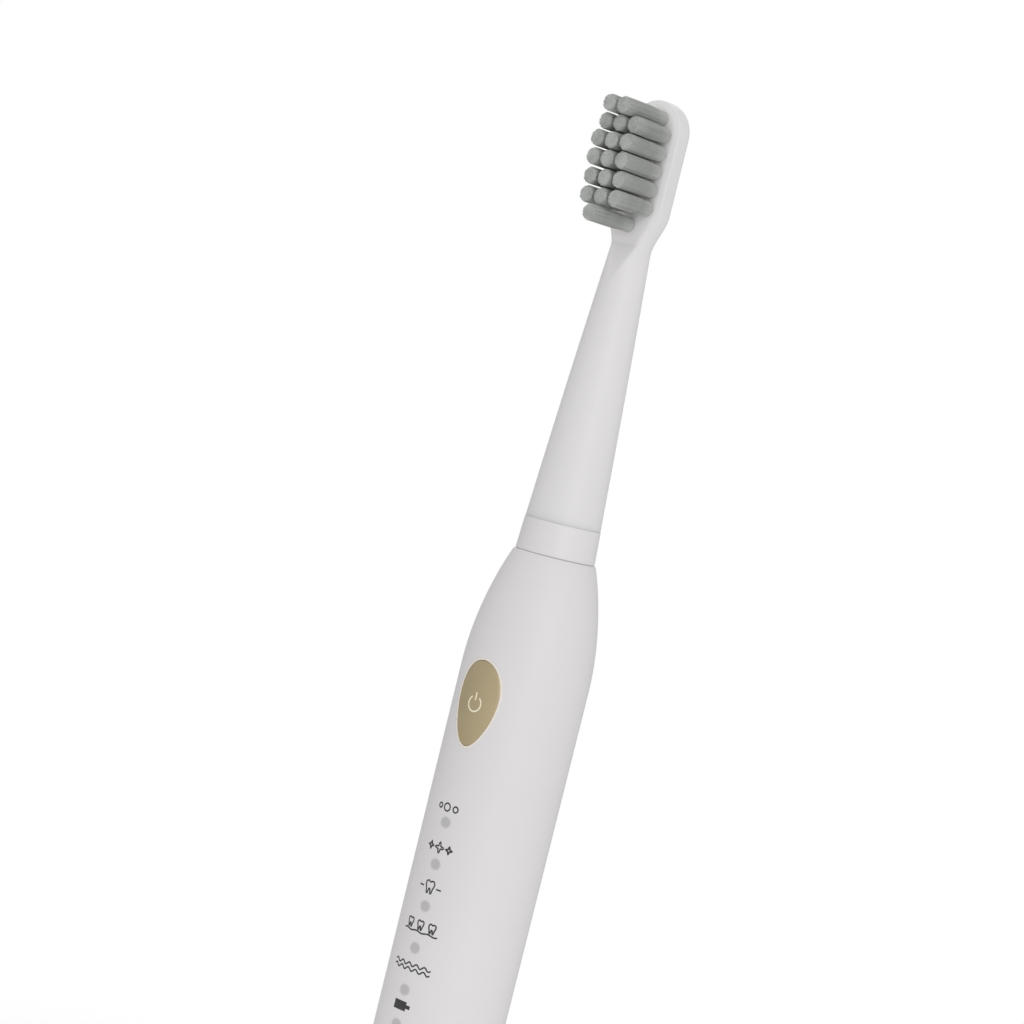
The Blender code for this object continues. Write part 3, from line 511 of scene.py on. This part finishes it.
def bare_lathe(name, profile, sides):
    """A turned piece that only cuts or joins another."""
    verts, faces = lathe_data(fillet(profile), sides)
    return add(name, verts, faces, None, weighted=False)


def facing_front(profile, sides, height, x=0.0):
    """Turns an outline about a line along Y, so that its heights run towards the front."""
    quarter = Matrix.Rotation(math.radians(90), 3, "X")
    verts, faces = lathe_data(profile, sides)
    return [tuple(quarter @ Vector(v) + Vector((x, 0, height))) for v in verts], faces


def ring_faces(first, second, count):
    """The quads between two rings of points, given the number of each ring's first point."""
    faces = []
    for i in range(count):
        j = (i + 1) % count
        faces.append((first + i, first + j, second + j, second + i))
    return faces


def boolean(obj, other, operation="DIFFERENCE"):
    """Applies one Boolean and removes the other object."""
    modifier = obj.modifiers.new("boolean", "BOOLEAN")
    modifier.operation, modifier.solver, modifier.object = operation, "EXACT", other
    bpy.context.view_layer.update()
    graph = bpy.context.evaluated_depsgraph_get()
    mesh = bpy.data.meshes.new_from_object(obj.evaluated_get(graph))
    obj.modifiers.clear()
    obj.data = mesh
    bpy.data.objects.remove(other, do_unlink=True)


def finish_shading(obj, sharp=35.0):
    obj.data.shade_smooth()
    obj.data.set_sharp_from_angle(angle=math.radians(sharp))
    modifier = obj.modifiers.new("normals", "WEIGHTED_NORMAL")
    modifier.keep_sharp = True


def smooth_step(start, end, value):
    share = min(1.0, max(0.0, (value - start) / (end - start)))
    return share * share * (3 - 2 * share)


# ---------------------------------------------------------------- the handle's surface


def handle_radius(height):
    """A slight cone up to the shoulder, which then rounds in to the handle's top."""
    below = SEAM - height
    if below >= SHOULDER:
        share = (height - CAP_BOTTOM) / (SEAM - SHOULDER - CAP_BOTTOM)
        return HANDLE_BOTTOM_RADIUS + (HANDLE_RADIUS - HANDLE_BOTTOM_RADIUS) * share
    rise = math.sin(math.pi / 2 * max(0.0, below / SHOULDER) ** SHOULDER_FULLNESS)
    return HANDLE_TOP_RADIUS + (HANDLE_RADIUS - HANDLE_TOP_RADIUS) * rise


def on_handle(arc, height, lift=0.0):
    """A point on the handle's front: arc is the distance round from the middle line."""
    radius = handle_radius(height) + lift
    angle = arc / handle_radius(height)
    return (radius * math.sin(angle), -radius * math.cos(angle), height)


def plane_on_handle(x, height, lift=0.0):
    """A point of the handle's front that is straight ahead of x, lifted along the button's travel."""
    return (x, -math.sqrt(handle_radius(height) ** 2 - x**2) - lift, height)


def egg(margin, steps):
    """The button's outline grown by a margin, as (across, up) points about its middle."""
    points = []
    for i in range(steps):
        angle = math.tau * i / steps
        up = math.sin(angle)
        across = math.cos(angle) * (1 + BUTTON_EGG * up) / (1 + BUTTON_EGG**2 / 2)
        half_width = BUTTON_WIDTH / 2
        points.append((across * half_width, up * BUTTON_LENGTH / 2))
    grown = []
    for i, (x, z) in enumerate(points):
        ahead, behind = points[(i + 1) % steps], points[i - 1]
        normal = Vector((ahead[1] - behind[1], behind[0] - ahead[0])).normalized()
        grown.append((x + normal.x * margin, z + normal.y * margin))
    return grown


def make_handle(m):
    """The case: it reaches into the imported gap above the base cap, which leaves a fine joint."""
    bottom, top = SHELL_BOTTOM - CASE_OVERLAP, SEAM
    heights = [bottom + (top - SHOULDER - 2 - bottom) * i / 12 for i in range(13)]
    heights += [top - 0.5 - (SHOULDER - 0.5) * (1 - i / 72) ** 1.2 for i in range(73)]
    profile = [(handle_radius(z), z, 0.16 if i == 0 else 0) for i, z in enumerate(heights)]
    profile += [(HANDLE_TOP_RADIUS, top, 0.30)]
    profile += [(MOUTH_RADIUS, top, 0.12), (MOUTH_RADIUS, top - MOUTH_DEPTH, 0)]
    profile += [(BOOT_SEAT_RADIUS, top - MOUTH_DEPTH, 0)]
    inner = [z for z in heights if z < top - 4.0]
    profile += [(handle_radius(z) - WALL, z, 0) for z in reversed(inner[::2])]
    if profile[-1][1] > bottom + 0.01:
        profile.append((handle_radius(bottom) - WALL, bottom, 0.1))
    case = lathe("handle_case", profile, m["white_plastic"], None, sides=224)
    case.modifiers.clear()
    count = 144
    outline = egg(BUTTON_OPENING, count)
    verts = [(x, y, BUTTON_MIDDLE + z) for y in (-6.0, -17.0) for x, z in outline]
    faces = [list(range(count)), list(range(2 * count - 1, count - 1, -1))]
    boolean(case, add("egg_cutter", verts, faces + ring_faces(0, count, count), None, weighted=False))
    case.data.shade_smooth()
    case.data.set_sharp_from_angle(angle=math.radians(32))
    set_round_normals(case)
    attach(case, "handle")
    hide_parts("handle_shell")


def set_round_normals(case):
    """Gives the outer surface the exact normals of its turned shape, also beside the opening."""
    mesh, near, normals = case.data, 0.01, []
    corner_normals = [tuple(n.vector) for n in mesh.corner_normals]
    for polygon in mesh.polygons:
        centre = polygon.center / MM
        outward = math.hypot(centre.x, centre.y)
        outer = (
            outward > handle_radius(centre.z) - 0.25
            and SHELL_BOTTOM + 0.2 < centre.z < SEAM - 0.35
            and polygon.normal.x * centre.x + polygon.normal.y * centre.y > 0.5 * outward
        )
        for loop in polygon.loop_indices:
            if not outer:
                normals.append(corner_normals[loop])
                continue
            point = mesh.vertices[mesh.loops[loop].vertex_index].co / MM
            level = round(point.z, 3)
            slope = (handle_radius(level + near) - handle_radius(level - near)) / (2 * near)
            normal = Vector((point.x, point.y, 0)).normalized()
            normals.append(tuple((normal + Vector((0, 0, -slope))).normalized()))
    mesh.normals_split_custom_set(normals)


def make_bezel(m):
    """The cream rim: a rounded bead laid along the egg on the handle's surface."""
    steps, around, root_depth, root_width = 200, 14, 1.2, 0.8
    inner, outer = egg(BEZEL_GAP, steps), egg(BEZEL_GAP + BEZEL_WIDTH, steps)
    verts, faces = [], []
    for (x0, z0), (x1, z1) in zip(inner, outer):
        for k in range(around):
            turn = math.tau * k / around
            share, rise = 0.5 + 0.5 * math.cos(turn), math.sin(turn)
            lift = BEZEL_HEIGHT * rise
            if rise <= 0:
                lift, share = root_depth * rise, 0.5 + (share - 0.5) * root_width
            x, z = x0 + (x1 - x0) * share, z0 + (z1 - z0) * share
            verts.append(plane_on_handle(x, BUTTON_MIDDLE + z, lift))
    for i in range(steps):
        faces += ring_faces(i * around, (i + 1) % steps * around, around)
    rim = add("button_rim", verts, faces, m["pearl"], "handle", 60)
    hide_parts("button_bezel")


def make_button(m):
    """The gold cap: the handle's own curve with a rolled edge, a skirt and the stem behind."""
    steps, edge, rings = 168, 0.24, []
    for k in range(7):
        inset = edge * (1 - math.cos(math.pi / 2 * k / 6))
        drop = edge * 0.6 * (1 - math.sqrt(1 - (1 - inset / edge) ** 2))
        rings.append((egg(-inset, steps), BUTTON_RISE - drop))
    flat = rings[-1][0]
    for share in (0.93, 0.8, 0.6, 0.4, 0.2):
        rings.append(([(x * share, z * share) for x, z in flat], BUTTON_RISE))
    verts = []
    for ring, lift in rings:
        verts += [plane_on_handle(x, BUTTON_MIDDLE + z, lift) for x, z in ring]
    verts.append(plane_on_handle(0, BUTTON_MIDDLE, BUTTON_RISE))
    skirt = len(verts)
    for x, z in egg(0.0, steps):
        verts.append(plane_on_handle(x * 0.985, BUTTON_MIDDLE + z * 0.99, -SKIRT_DEPTH))
    verts.append(plane_on_handle(0, BUTTON_MIDDLE, -SKIRT_DEPTH))
    last, faces = (len(rings) - 1) * steps, []
    for first in range(0, last, steps):
        faces += ring_faces(first, first + steps, steps)
    for i in range(steps):
        j = (i + 1) % steps
        faces.append((last + i, last + j, skirt - 1))
        faces.append((skirt + j, skirt + i, i, j))
        faces.append((skirt + i, skirt + j, len(verts) - 1))
    cap = add("power_button_cap", verts, faces, m["gold"], "power_button", 50)
    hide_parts("power_button")
    stem, near, far = 1.5, 10.85, HANDLE_RADIUS - 1.1
    profile = fillet([(0, near, 0), (stem, near, 0.3), (stem, far, 0), (0, far, 0)])
    verts, faces = facing_front(profile, 32, BUTTON_MIDDLE)
    add("power_button_stem", verts, faces, m["gold"], "power_button")

    ring, radius, gap, steps = [], 1.5, 70, 60
    for i in range(steps + 1):
        angle = math.radians(90 + gap / 2 + (360 - gap) * i / steps)
        ring.append((radius * math.cos(angle), BUTTON_MIDDLE - 0.1 + radius * math.sin(angle)))
    stick = [(0, BUTTON_MIDDLE + 0.55 + 1.55 * i / 8) for i in range(9)]
    symbol = surface_strokes(
        "power_symbol", [(ring, 0.29), (stick, 0.31)], 0.075, m["cream_symbol"], "power_button"
    )


def surface_strokes(name, strokes, lift, finish, body):
    """Printed or inlaid lines on the handle's front, each a thin closed band of a given width."""
    verts, faces = [], []
    for points, width in strokes:
        closed = points[0] == points[-1] and len(points) > 3
        if closed:
            points = points[:-1]
        count, base = len(points), len(verts)
        for i, (x, z) in enumerate(points):
            ahead = points[(i + 1) % count] if closed or i < count - 1 else points[i]
            behind = points[i - 1] if closed or i > 0 else points[i]
            along = Vector((ahead[0] - behind[0], ahead[1] - behind[1])).normalized()
            across = Vector((-along.y, along.x)) * width / 2
            for side in (1, -1):
                for height in (lift, lift - 0.05):
                    place = (x + across.x * side, z + across.y * side)
                    verts.append(on_handle(place[0], place[1], height))
        for i in range(count if closed else count - 1):
            a, b = base + 4 * i, base + 4 * ((i + 1) % count)
            faces += [(a, b, b + 2, a + 2), (a + 1, a + 3, b + 3, b + 1)]
            faces += [(a, a + 1, b + 1, b), (a + 2, b + 2, b + 3, a + 3)]
        if not closed:
            a, b = base, base + 4 * (count - 1)
            faces += [(a, a + 2, a + 3, a + 1), (b, b + 1, b + 3, b + 2)]
    return add(name, verts, faces, finish, body, 40, weighted=False)


def wave_line(middle, half_length, height, waves, steps=60):
    points = []
    for i in range(steps + 1):
        share = i / steps
        x = (2 * share - 1) * half_length
        points.append((x, middle + height * math.sin(math.tau * waves * share)))
    return points


def star(x, z, size, steps=8):
    """A four-pointed sparkle as one closed line with hollow sides."""
    points = []
    for corner in range(4):
        a0, a1 = math.pi / 2 * corner, math.pi / 2 * (corner + 1)
        for i in range(steps):
            t = i / steps
            pull = 1 - 1.35 * math.sin(math.pi * t) * 0.5
            angle = a0 + (a1 - a0) * t
            points.append((x + size * pull * math.cos(angle), z + size * pull * math.sin(angle)))
    return points + [points[0]]


def tooth(x, z, size, steps=5):
    """A tooth's outline: a two-lobed crown and two roots, as one smooth closed line."""
    half = [(0.0, 0.74), (0.40, 0.92), (0.78, 0.72), (0.82, 0.22), (0.62, -0.32), (0.48, -0.95)]
    half += [(0.26, -0.95), (0.16, -0.42), (0.0, -0.24)]
    corners = half + [(-a, b) for a, b in reversed(half[1:-1])]
    points, count = [], len(corners)
    for i in range(count):
        p0, p1, p2, p3 = (Vector(corners[(i + k) % count]) for k in (-1, 0, 1, 2))
        for k in range(steps):
            t = k / steps
            here = 0.5 * (
                2 * p1 + (p2 - p0) * t + (2 * p0 - 5 * p1 + 4 * p2 - p3) * t**2
                + (3 * p1 - p0 - 3 * p2 + p3) * t**3
            )
            points.append((x + size * here.x, z + size * here.y))
    return points + [points[0]]


def small_ring(x, z, size, steps=20):
    points = []
    for i in range(steps + 1):
        angle = math.tau * (i % steps) / steps
        points.append((x + size * math.cos(angle), z + size * math.sin(angle)))
    return points


def make_marks(m):
    """Generic pictograms, one above each mode light, and the charge symbol."""
    line = MARK_LINE
    clean, polish, white, gums, gentle = MARKS
    strokes = []
    for x, size in ((-2.3, 0.45), (-0.5, 0.75), (1.6, 0.56)):
        strokes.append((small_ring(x, clean, size), line))
    for x, size in ((-2.3, 0.8), (0.0, 1.15), (2.3, 0.8)):
        strokes.append((star(x, polish, size), line))
    strokes.append((tooth(0, white + 0.1, 1.25), line))
    for side in (-1, 1):
        strokes.append(([(side * (1.6 + 0.16 * i), white) for i in range(8)], line))
    for x in (-2.8, 0.0, 2.8):
        strokes.append((tooth(x, gums + 0.35, 0.92), line))
    strokes.append((wave_line(gums - 1.0, 4.3, 0.12, 3.0), line))
    strokes.append((wave_line(gentle + 0.42, 4.6, 0.3, 5.0, 110), line))
    strokes.append((wave_line(gentle - 0.5, 4.6, 0.3, 5.0, 110), line))
    battery = [(-1.75 + 0.2 * i, BATTERY_MARK) for i in range(16)]
    strokes.append((battery, 1.78))
    strokes.append(([(1.2 + 0.16 * i, BATTERY_MARK) for i in range(7)], 0.72))
    marks = surface_strokes("mode_marks", strokes, 0.015, m["printed_ink"], "handle")


def make_lights(m):
    """The mode lights' faces: discs that follow the case's curve, a little wider than the spots."""
    steps, rings, proud, margin = 40, (0.4, 0.8, 1.0), 0.008, 0.12
    side = 1 + steps * len(rings)
    verts, faces = [], []
    for z in LIGHTS:
        base = len(verts)
        for height in (proud, -LIGHT_DEPTH):
            verts.append(on_handle(0, z, height))
            for share in rings:
                for i in range(steps):
                    angle = math.tau * i / steps
                    r = (LIGHT_RADIUS + margin) * share
                    arc = r * LIGHT_STRETCH * math.cos(angle)
                    verts.append(on_handle(arc, z + r * math.sin(angle), height))
        for middle in (base, base + side):
            first = middle + 1
            faces += [(middle, first + i, first + (i + 1) % steps) for i in range(steps)]
            for k in range(len(rings) - 1):
                faces += ring_faces(first + k * steps, first + (k + 1) * steps, steps)
        rim = base + side - steps
        faces += ring_faces(rim, rim + side, steps)
    lights = add("mode_lights", verts, faces, m["light"], "handle", 40, weighted=False)
    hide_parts("light_guide")


def make_cap_and_socket(m):
    """The base cap with its ring groove, and the blind tube that the charger's post enters."""
    white, z, split, hole = m["white_plastic"], CAP_BOTTOM, SHELL_BOTTOM - CAP_GAP, SOCKET_RADIUS + 0.25
    spigot = handle_radius(split) - WALL - CAP_GAP
    profile = [(hole, z + 2.0, 0), (hole, z, 0.35), (HANDLE_BOTTOM_RADIUS, z, 2.6)]
    profile += [(handle_radius(split), split, 0.16), (spigot, split, 0)]
    profile += [(spigot, z + 10.2, 0.1), (spigot - 1.1, z + 10.2, 0), (spigot - 1.1, z + 11.8, 0)]
    profile += [(spigot, z + 11.8, 0.1), (spigot, z + 13.6, 0.3), (spigot - 1.8, z + 13.6, 0)]
    profile += [(spigot - 1.8, z + 2.0, 0)]
    lathe("handle_base_cap", profile, white, "handle", 192, 8, ["base_cap"])

    inner, outer, flange, top = SOCKET_BORE, SOCKET_RADIUS, SOCKET_FLANGE, high("charging_socket").z
    profile = [(inner, z + 0.1, 0.4), (outer, z + 0.1, 0.2), (outer, z + 2.3, 0)]
    profile += [(flange, z + 2.3, 0.1), (flange, z + 3.2, 0.1), (outer, z + 3.2, 0)]
    profile += [(outer, top, 0.5), (0, top, 0), (0, top - 1.2, 0), (inner, top - 1.2, 0.5)]
    lathe("socket_tube", profile, white, "handle", 96, 5, ["charging_socket"])


def make_seal_and_shaft(m):
    """The rubber boot with its fold, and the shaft with its flat and the clip's groove."""
    s = SEAM
    profile = [(2.2, s - 3.0, 0), (6.2, s - 3.0, 0.1), (6.2, s - 2.3, 0), (5.05, s - 2.3, 0)]
    profile += [(5.05, s + 0.05, 0.15), (4.6, s + 0.05, 0.1), (4.3, s + 0.4, 0.12)]
    profile += [(3.9, s + 0.05, 0.12), (3.5, s + 0.4, 0.12), (3.1, s + 0.02, 0.12)]
    profile += [(2.75, s + 0.42, 0.12), (2.2, s + 0.42, 0.1)]
    lathe("shaft_boot", profile, m["grey_rubber"], "handle", 128, 5, ["shaft_seal"])

    bottom, top, step = low("drive_shaft").z, high("drive_shaft").z, s - 18.0
    slim, full, groove = SHAFT_BODY, SHAFT_RADIUS, SHAFT_GROOVE
    profile = [(0, bottom, 0), (slim, bottom, 0.15), (slim, step, 0), (full, step, 0.1)]
    profile += [(full, s + 6.6, 0.05), (groove, s + 6.75, 0.05), (groove, s + 7.35, 0.05)]
    profile += [(full, s + 7.5, 0.05), (full, top - 0.6, 0.1), (1.35, top, 0.15), (0, top, 0)]
    shaft = lathe("shaft", profile, m["shaft_steel"], None, 96, 4)
    shaft.modifiers.clear()
    corners = ((-4, -5.35), (4, -5.35), (4, -SHAFT_FLAT), (-4, -SHAFT_FLAT))
    verts = [(x, y, z) for z in (s + 3, s + 15) for x, y in corners]
    faces = [(3, 2, 1, 0), (4, 5, 6, 7)] + ring_faces(0, 4, 4)
    boolean(shaft, add("flat_cutter", verts, faces, None, weighted=False))
    finish_shading(shaft, 30)
    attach(shaft, "drive_shaft")
    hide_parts("drive_shaft")


# ---------------------------------------------------------------- the brush head


def neck_radius(height):
    """A cone that is a little full in the middle and rounded at its foot."""
    share = (height - NECK_BOTTOM) / (NECK_TOP - NECK_BOTTOM)
    fullness = NECK_BULGE * math.sin(math.pi * max(0.0, min(1.0, share)))
    rounding = max(0.0, 1 - (height - NECK_BOTTOM) / NECK_ROUNDING)
    fullness -= NECK_ROUNDING * (1 - math.sqrt(1 - rounding**2))
    return NECK_BOTTOM_RADIUS + (NECK_TOP_RADIUS - NECK_BOTTOM_RADIUS) * share + fullness


def plate_width(above, inset):
    """Half the plate's width at a level of its round top, with its outline drawn in by an inset."""
    return math.sqrt(max(0.0, (PLATE_HALF_WIDTH - inset) ** 2 - above**2))


def plate_limit(above, across, deep):
    """How much depth a rounded edge has used up where the round top closes over it."""
    inset = max(0.0, min(across, PLATE_HALF_WIDTH - above))
    return deep * (1 - math.sqrt(max(0.0, 1 - (1 - inset / across) ** 2)))


def plate_side(height, edge_points, points):
    """One side of the plate's section, from the flat face round the front edge to the back."""
    above = min(PLATE_HALF_WIDTH, max(0.0, height - (HEAD_TOP - PLATE_HALF_WIDTH)))
    front = PLATE_FRONT + plate_limit(above, EDGE_INSET, EDGE_DEPTH)
    back = PLATE_BACK - plate_limit(above, PLATE_BACK_ROUNDING, PLATE_BACK_ROUNDING)
    side = []
    for i in range(edge_points + 1):
        turn = math.pi / 2 * i / edge_points
        width = plate_width(above, EDGE_INSET * (1 - math.sin(turn)))
        depth = PLATE_FRONT + EDGE_DEPTH * (1 - math.cos(turn))
        side.append((width, max(depth, front)))
    start = PLATE_FRONT + EDGE_DEPTH
    for i in range(1, points + 1):
        depth = start + (back - start) * math.sin(math.pi / 2 * i / points)
        reach = max(0.0, (depth - PLATE_BACK) / PLATE_BACK_ROUNDING + 1)
        inset = PLATE_BACK_ROUNDING * (1 - math.sqrt(max(0.0, 1 - reach**2)))
        side.append((plate_width(above, inset) if i < points else 0.0, depth))
    return side


def neck_side(height, edge_points, points):
    """One side of the neck's section: the flat face's edge, then the round of the neck."""
    radius = neck_radius(min(height, NECK_TOP))
    share = min(1.0, max(0.0, (height - FACE_START) / (FACE_END - FACE_START)))
    angle = math.asin(share * math.sqrt(radius**2 - PLATE_FRONT**2) / radius)
    corner = (radius * math.sin(angle), -radius * math.cos(angle))
    reach = min(0.45 * math.sqrt(share), 0.5 * corner[0])
    start = (max(0.0, corner[0] - reach), corner[1])
    round_from = angle + reach / radius
    end = (radius * math.sin(round_from), -radius * math.cos(round_from))
    side = []
    for i in range(edge_points + 1):
        t = i / edge_points
        side.append(tuple(
            a * (1 - t) ** 2 + b * 2 * t * (1 - t) + c * t**2 for a, b, c in zip(start, corner, end)
        ))
    for i in range(1, points + 1):
        turn = round_from + (math.pi - round_from) * i / points
        side.append((radius * math.sin(turn) if i < points else 0.0, -radius * math.cos(turn)))
    return side


def head_section(height, edge_points=10, points=34):
    """One level of the head: round on the neck, flat-faced on the bristle plate."""
    blend = smooth_step(NECK_TOP, PLATE_FROM, height)
    neck, plate = neck_side(height, edge_points, points), plate_side(height, edge_points, points)
    side = [(a + (c - a) * blend, b + (d - b) * blend) for (a, b), (c, d) in zip(neck, plate)]
    return side + [(-x, y) for x, y in reversed(side[:-1])]


def tuft_places():
    """(name, across, height, root depth, tip depth) of each packed tuft."""
    places = []
    for name in sorted(n for n in frame["nodes"] if n.startswith("bristle_tuft_")):
        a, b = low(name), high(name)
        places.append((name, (a.x + b.x) / 2, (a.z + b.z) / 2, a.y, b.y))
    return places


def head_heights():
    """The levels of the head's sections, closest where the shape turns fastest."""
    heights = [NECK_BOTTOM + NECK_ROUNDING * (1 - math.cos(math.pi / 2 * i / 4)) for i in range(4)]
    start = NECK_BOTTOM + NECK_ROUNDING
    heights += [start + (FACE_START - start) * i / 40 for i in range(41)]
    heights += [FACE_START + (FACE_END - FACE_START) * (i / 32) ** 1.2 for i in range(1, 33)]
    heights += [FACE_END + (PLATE_FROM - FACE_END) * i / 24 for i in range(1, 25)]
    centre = HEAD_TOP - PLATE_HALF_WIDTH
    heights += [PLATE_FROM + (centre - PLATE_FROM) * i / 5 for i in range(1, 5)]
    angles = [3 * i for i in range(24)] + [72 + 1.5 * i for i in range(12)] + [90]
    return heights + [centre + PLATE_HALF_WIDTH * math.sin(math.radians(a)) for a in angles]


def make_head_body(m):
    """The neck and bristle plate, with the spigot for the ring, the bore and the tuft holes."""
    heights, verts, faces = head_heights(), [], []
    for height in heights:
        verts += [(x, y, height) for x, y in head_section(height)]
    count = len(head_section(heights[0]))
    for level in range(len(heights) - 1):
        faces += ring_faces(level * count, (level + 1) * count, count)
    faces.append(list(range(count - 1, -1, -1)))
    body = add("brush_head", verts, faces, m["head"], weighted=False)

    foot, root, spigot = SEAM + 0.8, NECK_BOTTOM + 0.6, SPIGOT_RADIUS
    profile = [(0, foot, 0), (spigot, foot, 0.3), (spigot, root, 0), (0, root, 0)]
    boolean(body, bare_lathe("spigot", profile, 96), "UNION")
    profile = [(0, SEAM - 1, 0), (BORE_RADIUS, SEAM - 1, 0), (BORE_RADIUS, SEAM + 12.2, 0)]
    profile += [(SHAFT_HOLE, SEAM + 12.4, 0), (SHAFT_HOLE, SEAM + 14, 0), (0, SEAM + 14, 0)]
    boolean(body, bare_lathe("bore", profile, 64))
    near, far = -PLATE_FRONT - TUFT_HOLE_DEPTH, -PLATE_FRONT + 2
    profile = [(0, near), (TUFT_HOLE_RADIUS, near), (TUFT_HOLE_RADIUS, far), (0, far)]
    verts, faces = [], []
    for _, x, z, _, _ in tuft_places():
        more, more_faces = facing_front(profile, 32, z, x)
        faces += [[len(verts) + i for i in face] for face in more_faces]
        verts += more
    boolean(body, add("tuft_holes", verts, faces, None, weighted=False))
    finish_shading(body, 33)
    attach(body, "brush_head")
    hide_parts("brush_head_body")


def make_ring(m):
    """The colour ring, with a hair-fine joint to the handle and to the neck."""
    a, b = SEAM + 0.035, NECK_BOTTOM - 0.01
    profile = [(5.9, a, 0.1), (7.80, a, 0.26), (7.44, b, 0.06), (5.9, b, 0)]
    lathe("colour_band", profile, m["ring"], "brush_head", 192, 6, ["colour_ring"])


def make_tufts(m):
    """Each tuft is a bundle of end-rounded filaments, pinched where it leaves the plate."""
    pitch, filament, sides, painted_rim_shade = 0.218, 0.106, 5, 0.024
    row_step = pitch * 0.866
    stations = ((0.0, 1.0), (0.22, 1.0), (0.5, 1.0), (1.0, 1.0), (1.010, 0.55))
    for number, (name, cx, cz, tip, root) in enumerate(tuft_places()):
        dice = random.Random(1000 + number)
        verts, faces = [], []
        rows = int(TUFT_RADIUS / row_step) + 1
        lean = (dice.uniform(-0.06, 0.06), dice.uniform(-0.06, 0.06))
        for row in range(-rows, rows + 1):
            for column in range(-rows - 1, rows + 2):
                x = (column + 0.5 * (row % 2)) * pitch + dice.uniform(-0.014, 0.014)
                z = row * row_step + dice.uniform(-0.014, 0.014)
                away = math.hypot(x, z)
                if away > TUFT_RADIUS - filament:
                    continue
                crown = TUFT_CROWN * (away / TUFT_RADIUS) ** 3
                length = root - tip - crown - dice.uniform(0.0, TIP_UNEVENNESS)
                swing = (lean[0] + dice.uniform(-0.025, 0.025), lean[1] + dice.uniform(-0.025, 0.025))
                base, turn = len(verts), dice.uniform(0, 1)
                for share, width in stations:
                    along = min(1.0, share)
                    spread = 0.82 + 0.18 * smooth_step(0.0, 0.6, along)
                    y = root - length * share / stations[-1][0]
                    for k in range(sides):
                        angle = math.tau * (k + turn) / sides
                        verts.append((
                            cx + x * spread + swing[0] * along**2 + filament * width * math.cos(angle),
                            y,
                            cz + z * spread + swing[1] * along**2 + filament * width * math.sin(angle),
                        ))
                last = base + (len(stations) - 1) * sides
                for first in range(base, last, sides):
                    faces += ring_faces(first, first + sides, sides)
                faces += [list(range(base, base + sides)), list(range(last, last + sides))]
        tuft = add(f"tuft_{number + 1:02d}", verts, faces, m["nylon"], "brush_head", 60, False)
        along = tuft.data.attributes.new("along", "FLOAT", "POINT")
        for vertex, value in zip(tuft.data.vertices, along.data):
            x, y, z = vertex.co / MM
            away = math.hypot(x - cx, z - cz) / TUFT_RADIUS
            # The along value is lowered towards each tuft's rim, which keeps the lighter tip colour off
            # the outer filaments: painted shade over the rim's highlight.
            value.value = (root - y + TUFT_CROWN * away**3) / (root - tip) - painted_rim_shade * away**6
        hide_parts(name)


# ---------------------------------------------------------------- the charger


def make_charger(m):
    """The case with the handle's seat and the lead's outlet, the post, the foot and the gland."""
    r, top, wall, bottom = CHARGER_RADIUS, CHARGER_TOP, CHARGER_WALL, low("charger_shell").z
    inner, hole = r - wall, POST_HOLE
    profile = [(hole, SEAT, 0.15), (SEAT_RADIUS, SEAT, 0.25), (SEAT_RADIUS, top, 0.35)]
    profile += [(r, top, 5.2), (r, bottom, 0.5), (inner, bottom, 0.1), (inner, top - wall, 3.0)]
    profile += [(SEAT_RADIUS + wall, top - wall, 0), (SEAT_RADIUS + wall, SEAT - wall, 0)]
    profile += [(hole, SEAT - wall, 0)]
    case = lathe("charger_case", profile, m["charger_white"], None, 224, 12)
    case.modifiers.clear()
    z = (low("cord_gland").z + high("cord_gland").z) / 2
    near, far = 4 - r, -r - 2
    profile = [(0, far), (OUTLET_RADIUS, far), (OUTLET_RADIUS, near), (0, near)]
    verts, faces = facing_front(profile, 64, z)
    boolean(case, add("outlet", verts, faces, None, weighted=False))
    finish_shading(case, 40)
    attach(case, "charger")
    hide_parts("charger_shell")

    post_top, post_low = high("charging_post").z, low("charging_post").z
    lip, roof, post = SEAT - wall - CAP_GAP, post_top - 1.6, POST_RADIUS
    profile = [(0, post_top, 0), (post, post_top, 1.1), (post, lip, 0), (POST_LIP, lip, 0)]
    profile += [(POST_LIP, post_low, 0.2), (POST_BORE, post_low, 0), (POST_BORE, roof, 0), (0, roof, 0)]
    white = m["charger_white"]
    lathe("charger_post", profile, white, "charger", 96, 8, ["charging_post"])

    rubber, pad_low, pad_high = m["grey_rubber"], low("charger_foot_pad"), high("charger_foot_pad")
    profile = [(FOOT_BORE, pad_low.z, 0.3), (pad_high.x, pad_low.z, 0.3)]
    profile += [(pad_high.x, pad_high.z, 0), (FOOT_BORE, pad_high.z, 0)]
    lathe("foot_ring", profile, rubber, "charger", 160, 4, ["charger_foot_pad"])

    near, far, flange = 3.4 - r, -r - 0.2, GLAND_FLANGE
    profile = [(CORD_HOLE, far, 0.25), (GLAND_RADIUS, far, 0.35), (2.7, near - 0.9, 0)]
    profile += [(flange, near - 0.9, 0), (flange, near, 0), (CORD_HOLE, near, 0)]
    verts, faces = facing_front(fillet(profile), 64, z)
    grommet = add("gland", verts, faces, rubber, "charger")
    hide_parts("cord_gland")


def dress_cad(m):
    """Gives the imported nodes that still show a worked-out material."""
    slots = {part["node"]: part["material_slot"] for part in record["subparts"]}
    for name, obj in frame["nodes"].items():
        if obj.hide_render:
            continue
        if not obj.material_slots:
            obj.data.materials.append(None)
        for place in obj.material_slots:
            place.material = m[slots[name]]


def main():
    make_camera()
    make_stage()
    m = make_materials()
    make_handle(m)
    make_bezel(m)
    make_button(m)
    make_marks(m)
    make_lights(m)
    make_cap_and_socket(m)
    make_seal_and_shaft(m)
    make_head_body(m)
    make_ring(m)
    make_tufts(m)
    make_charger(m)
    dress_cad(m)


main()
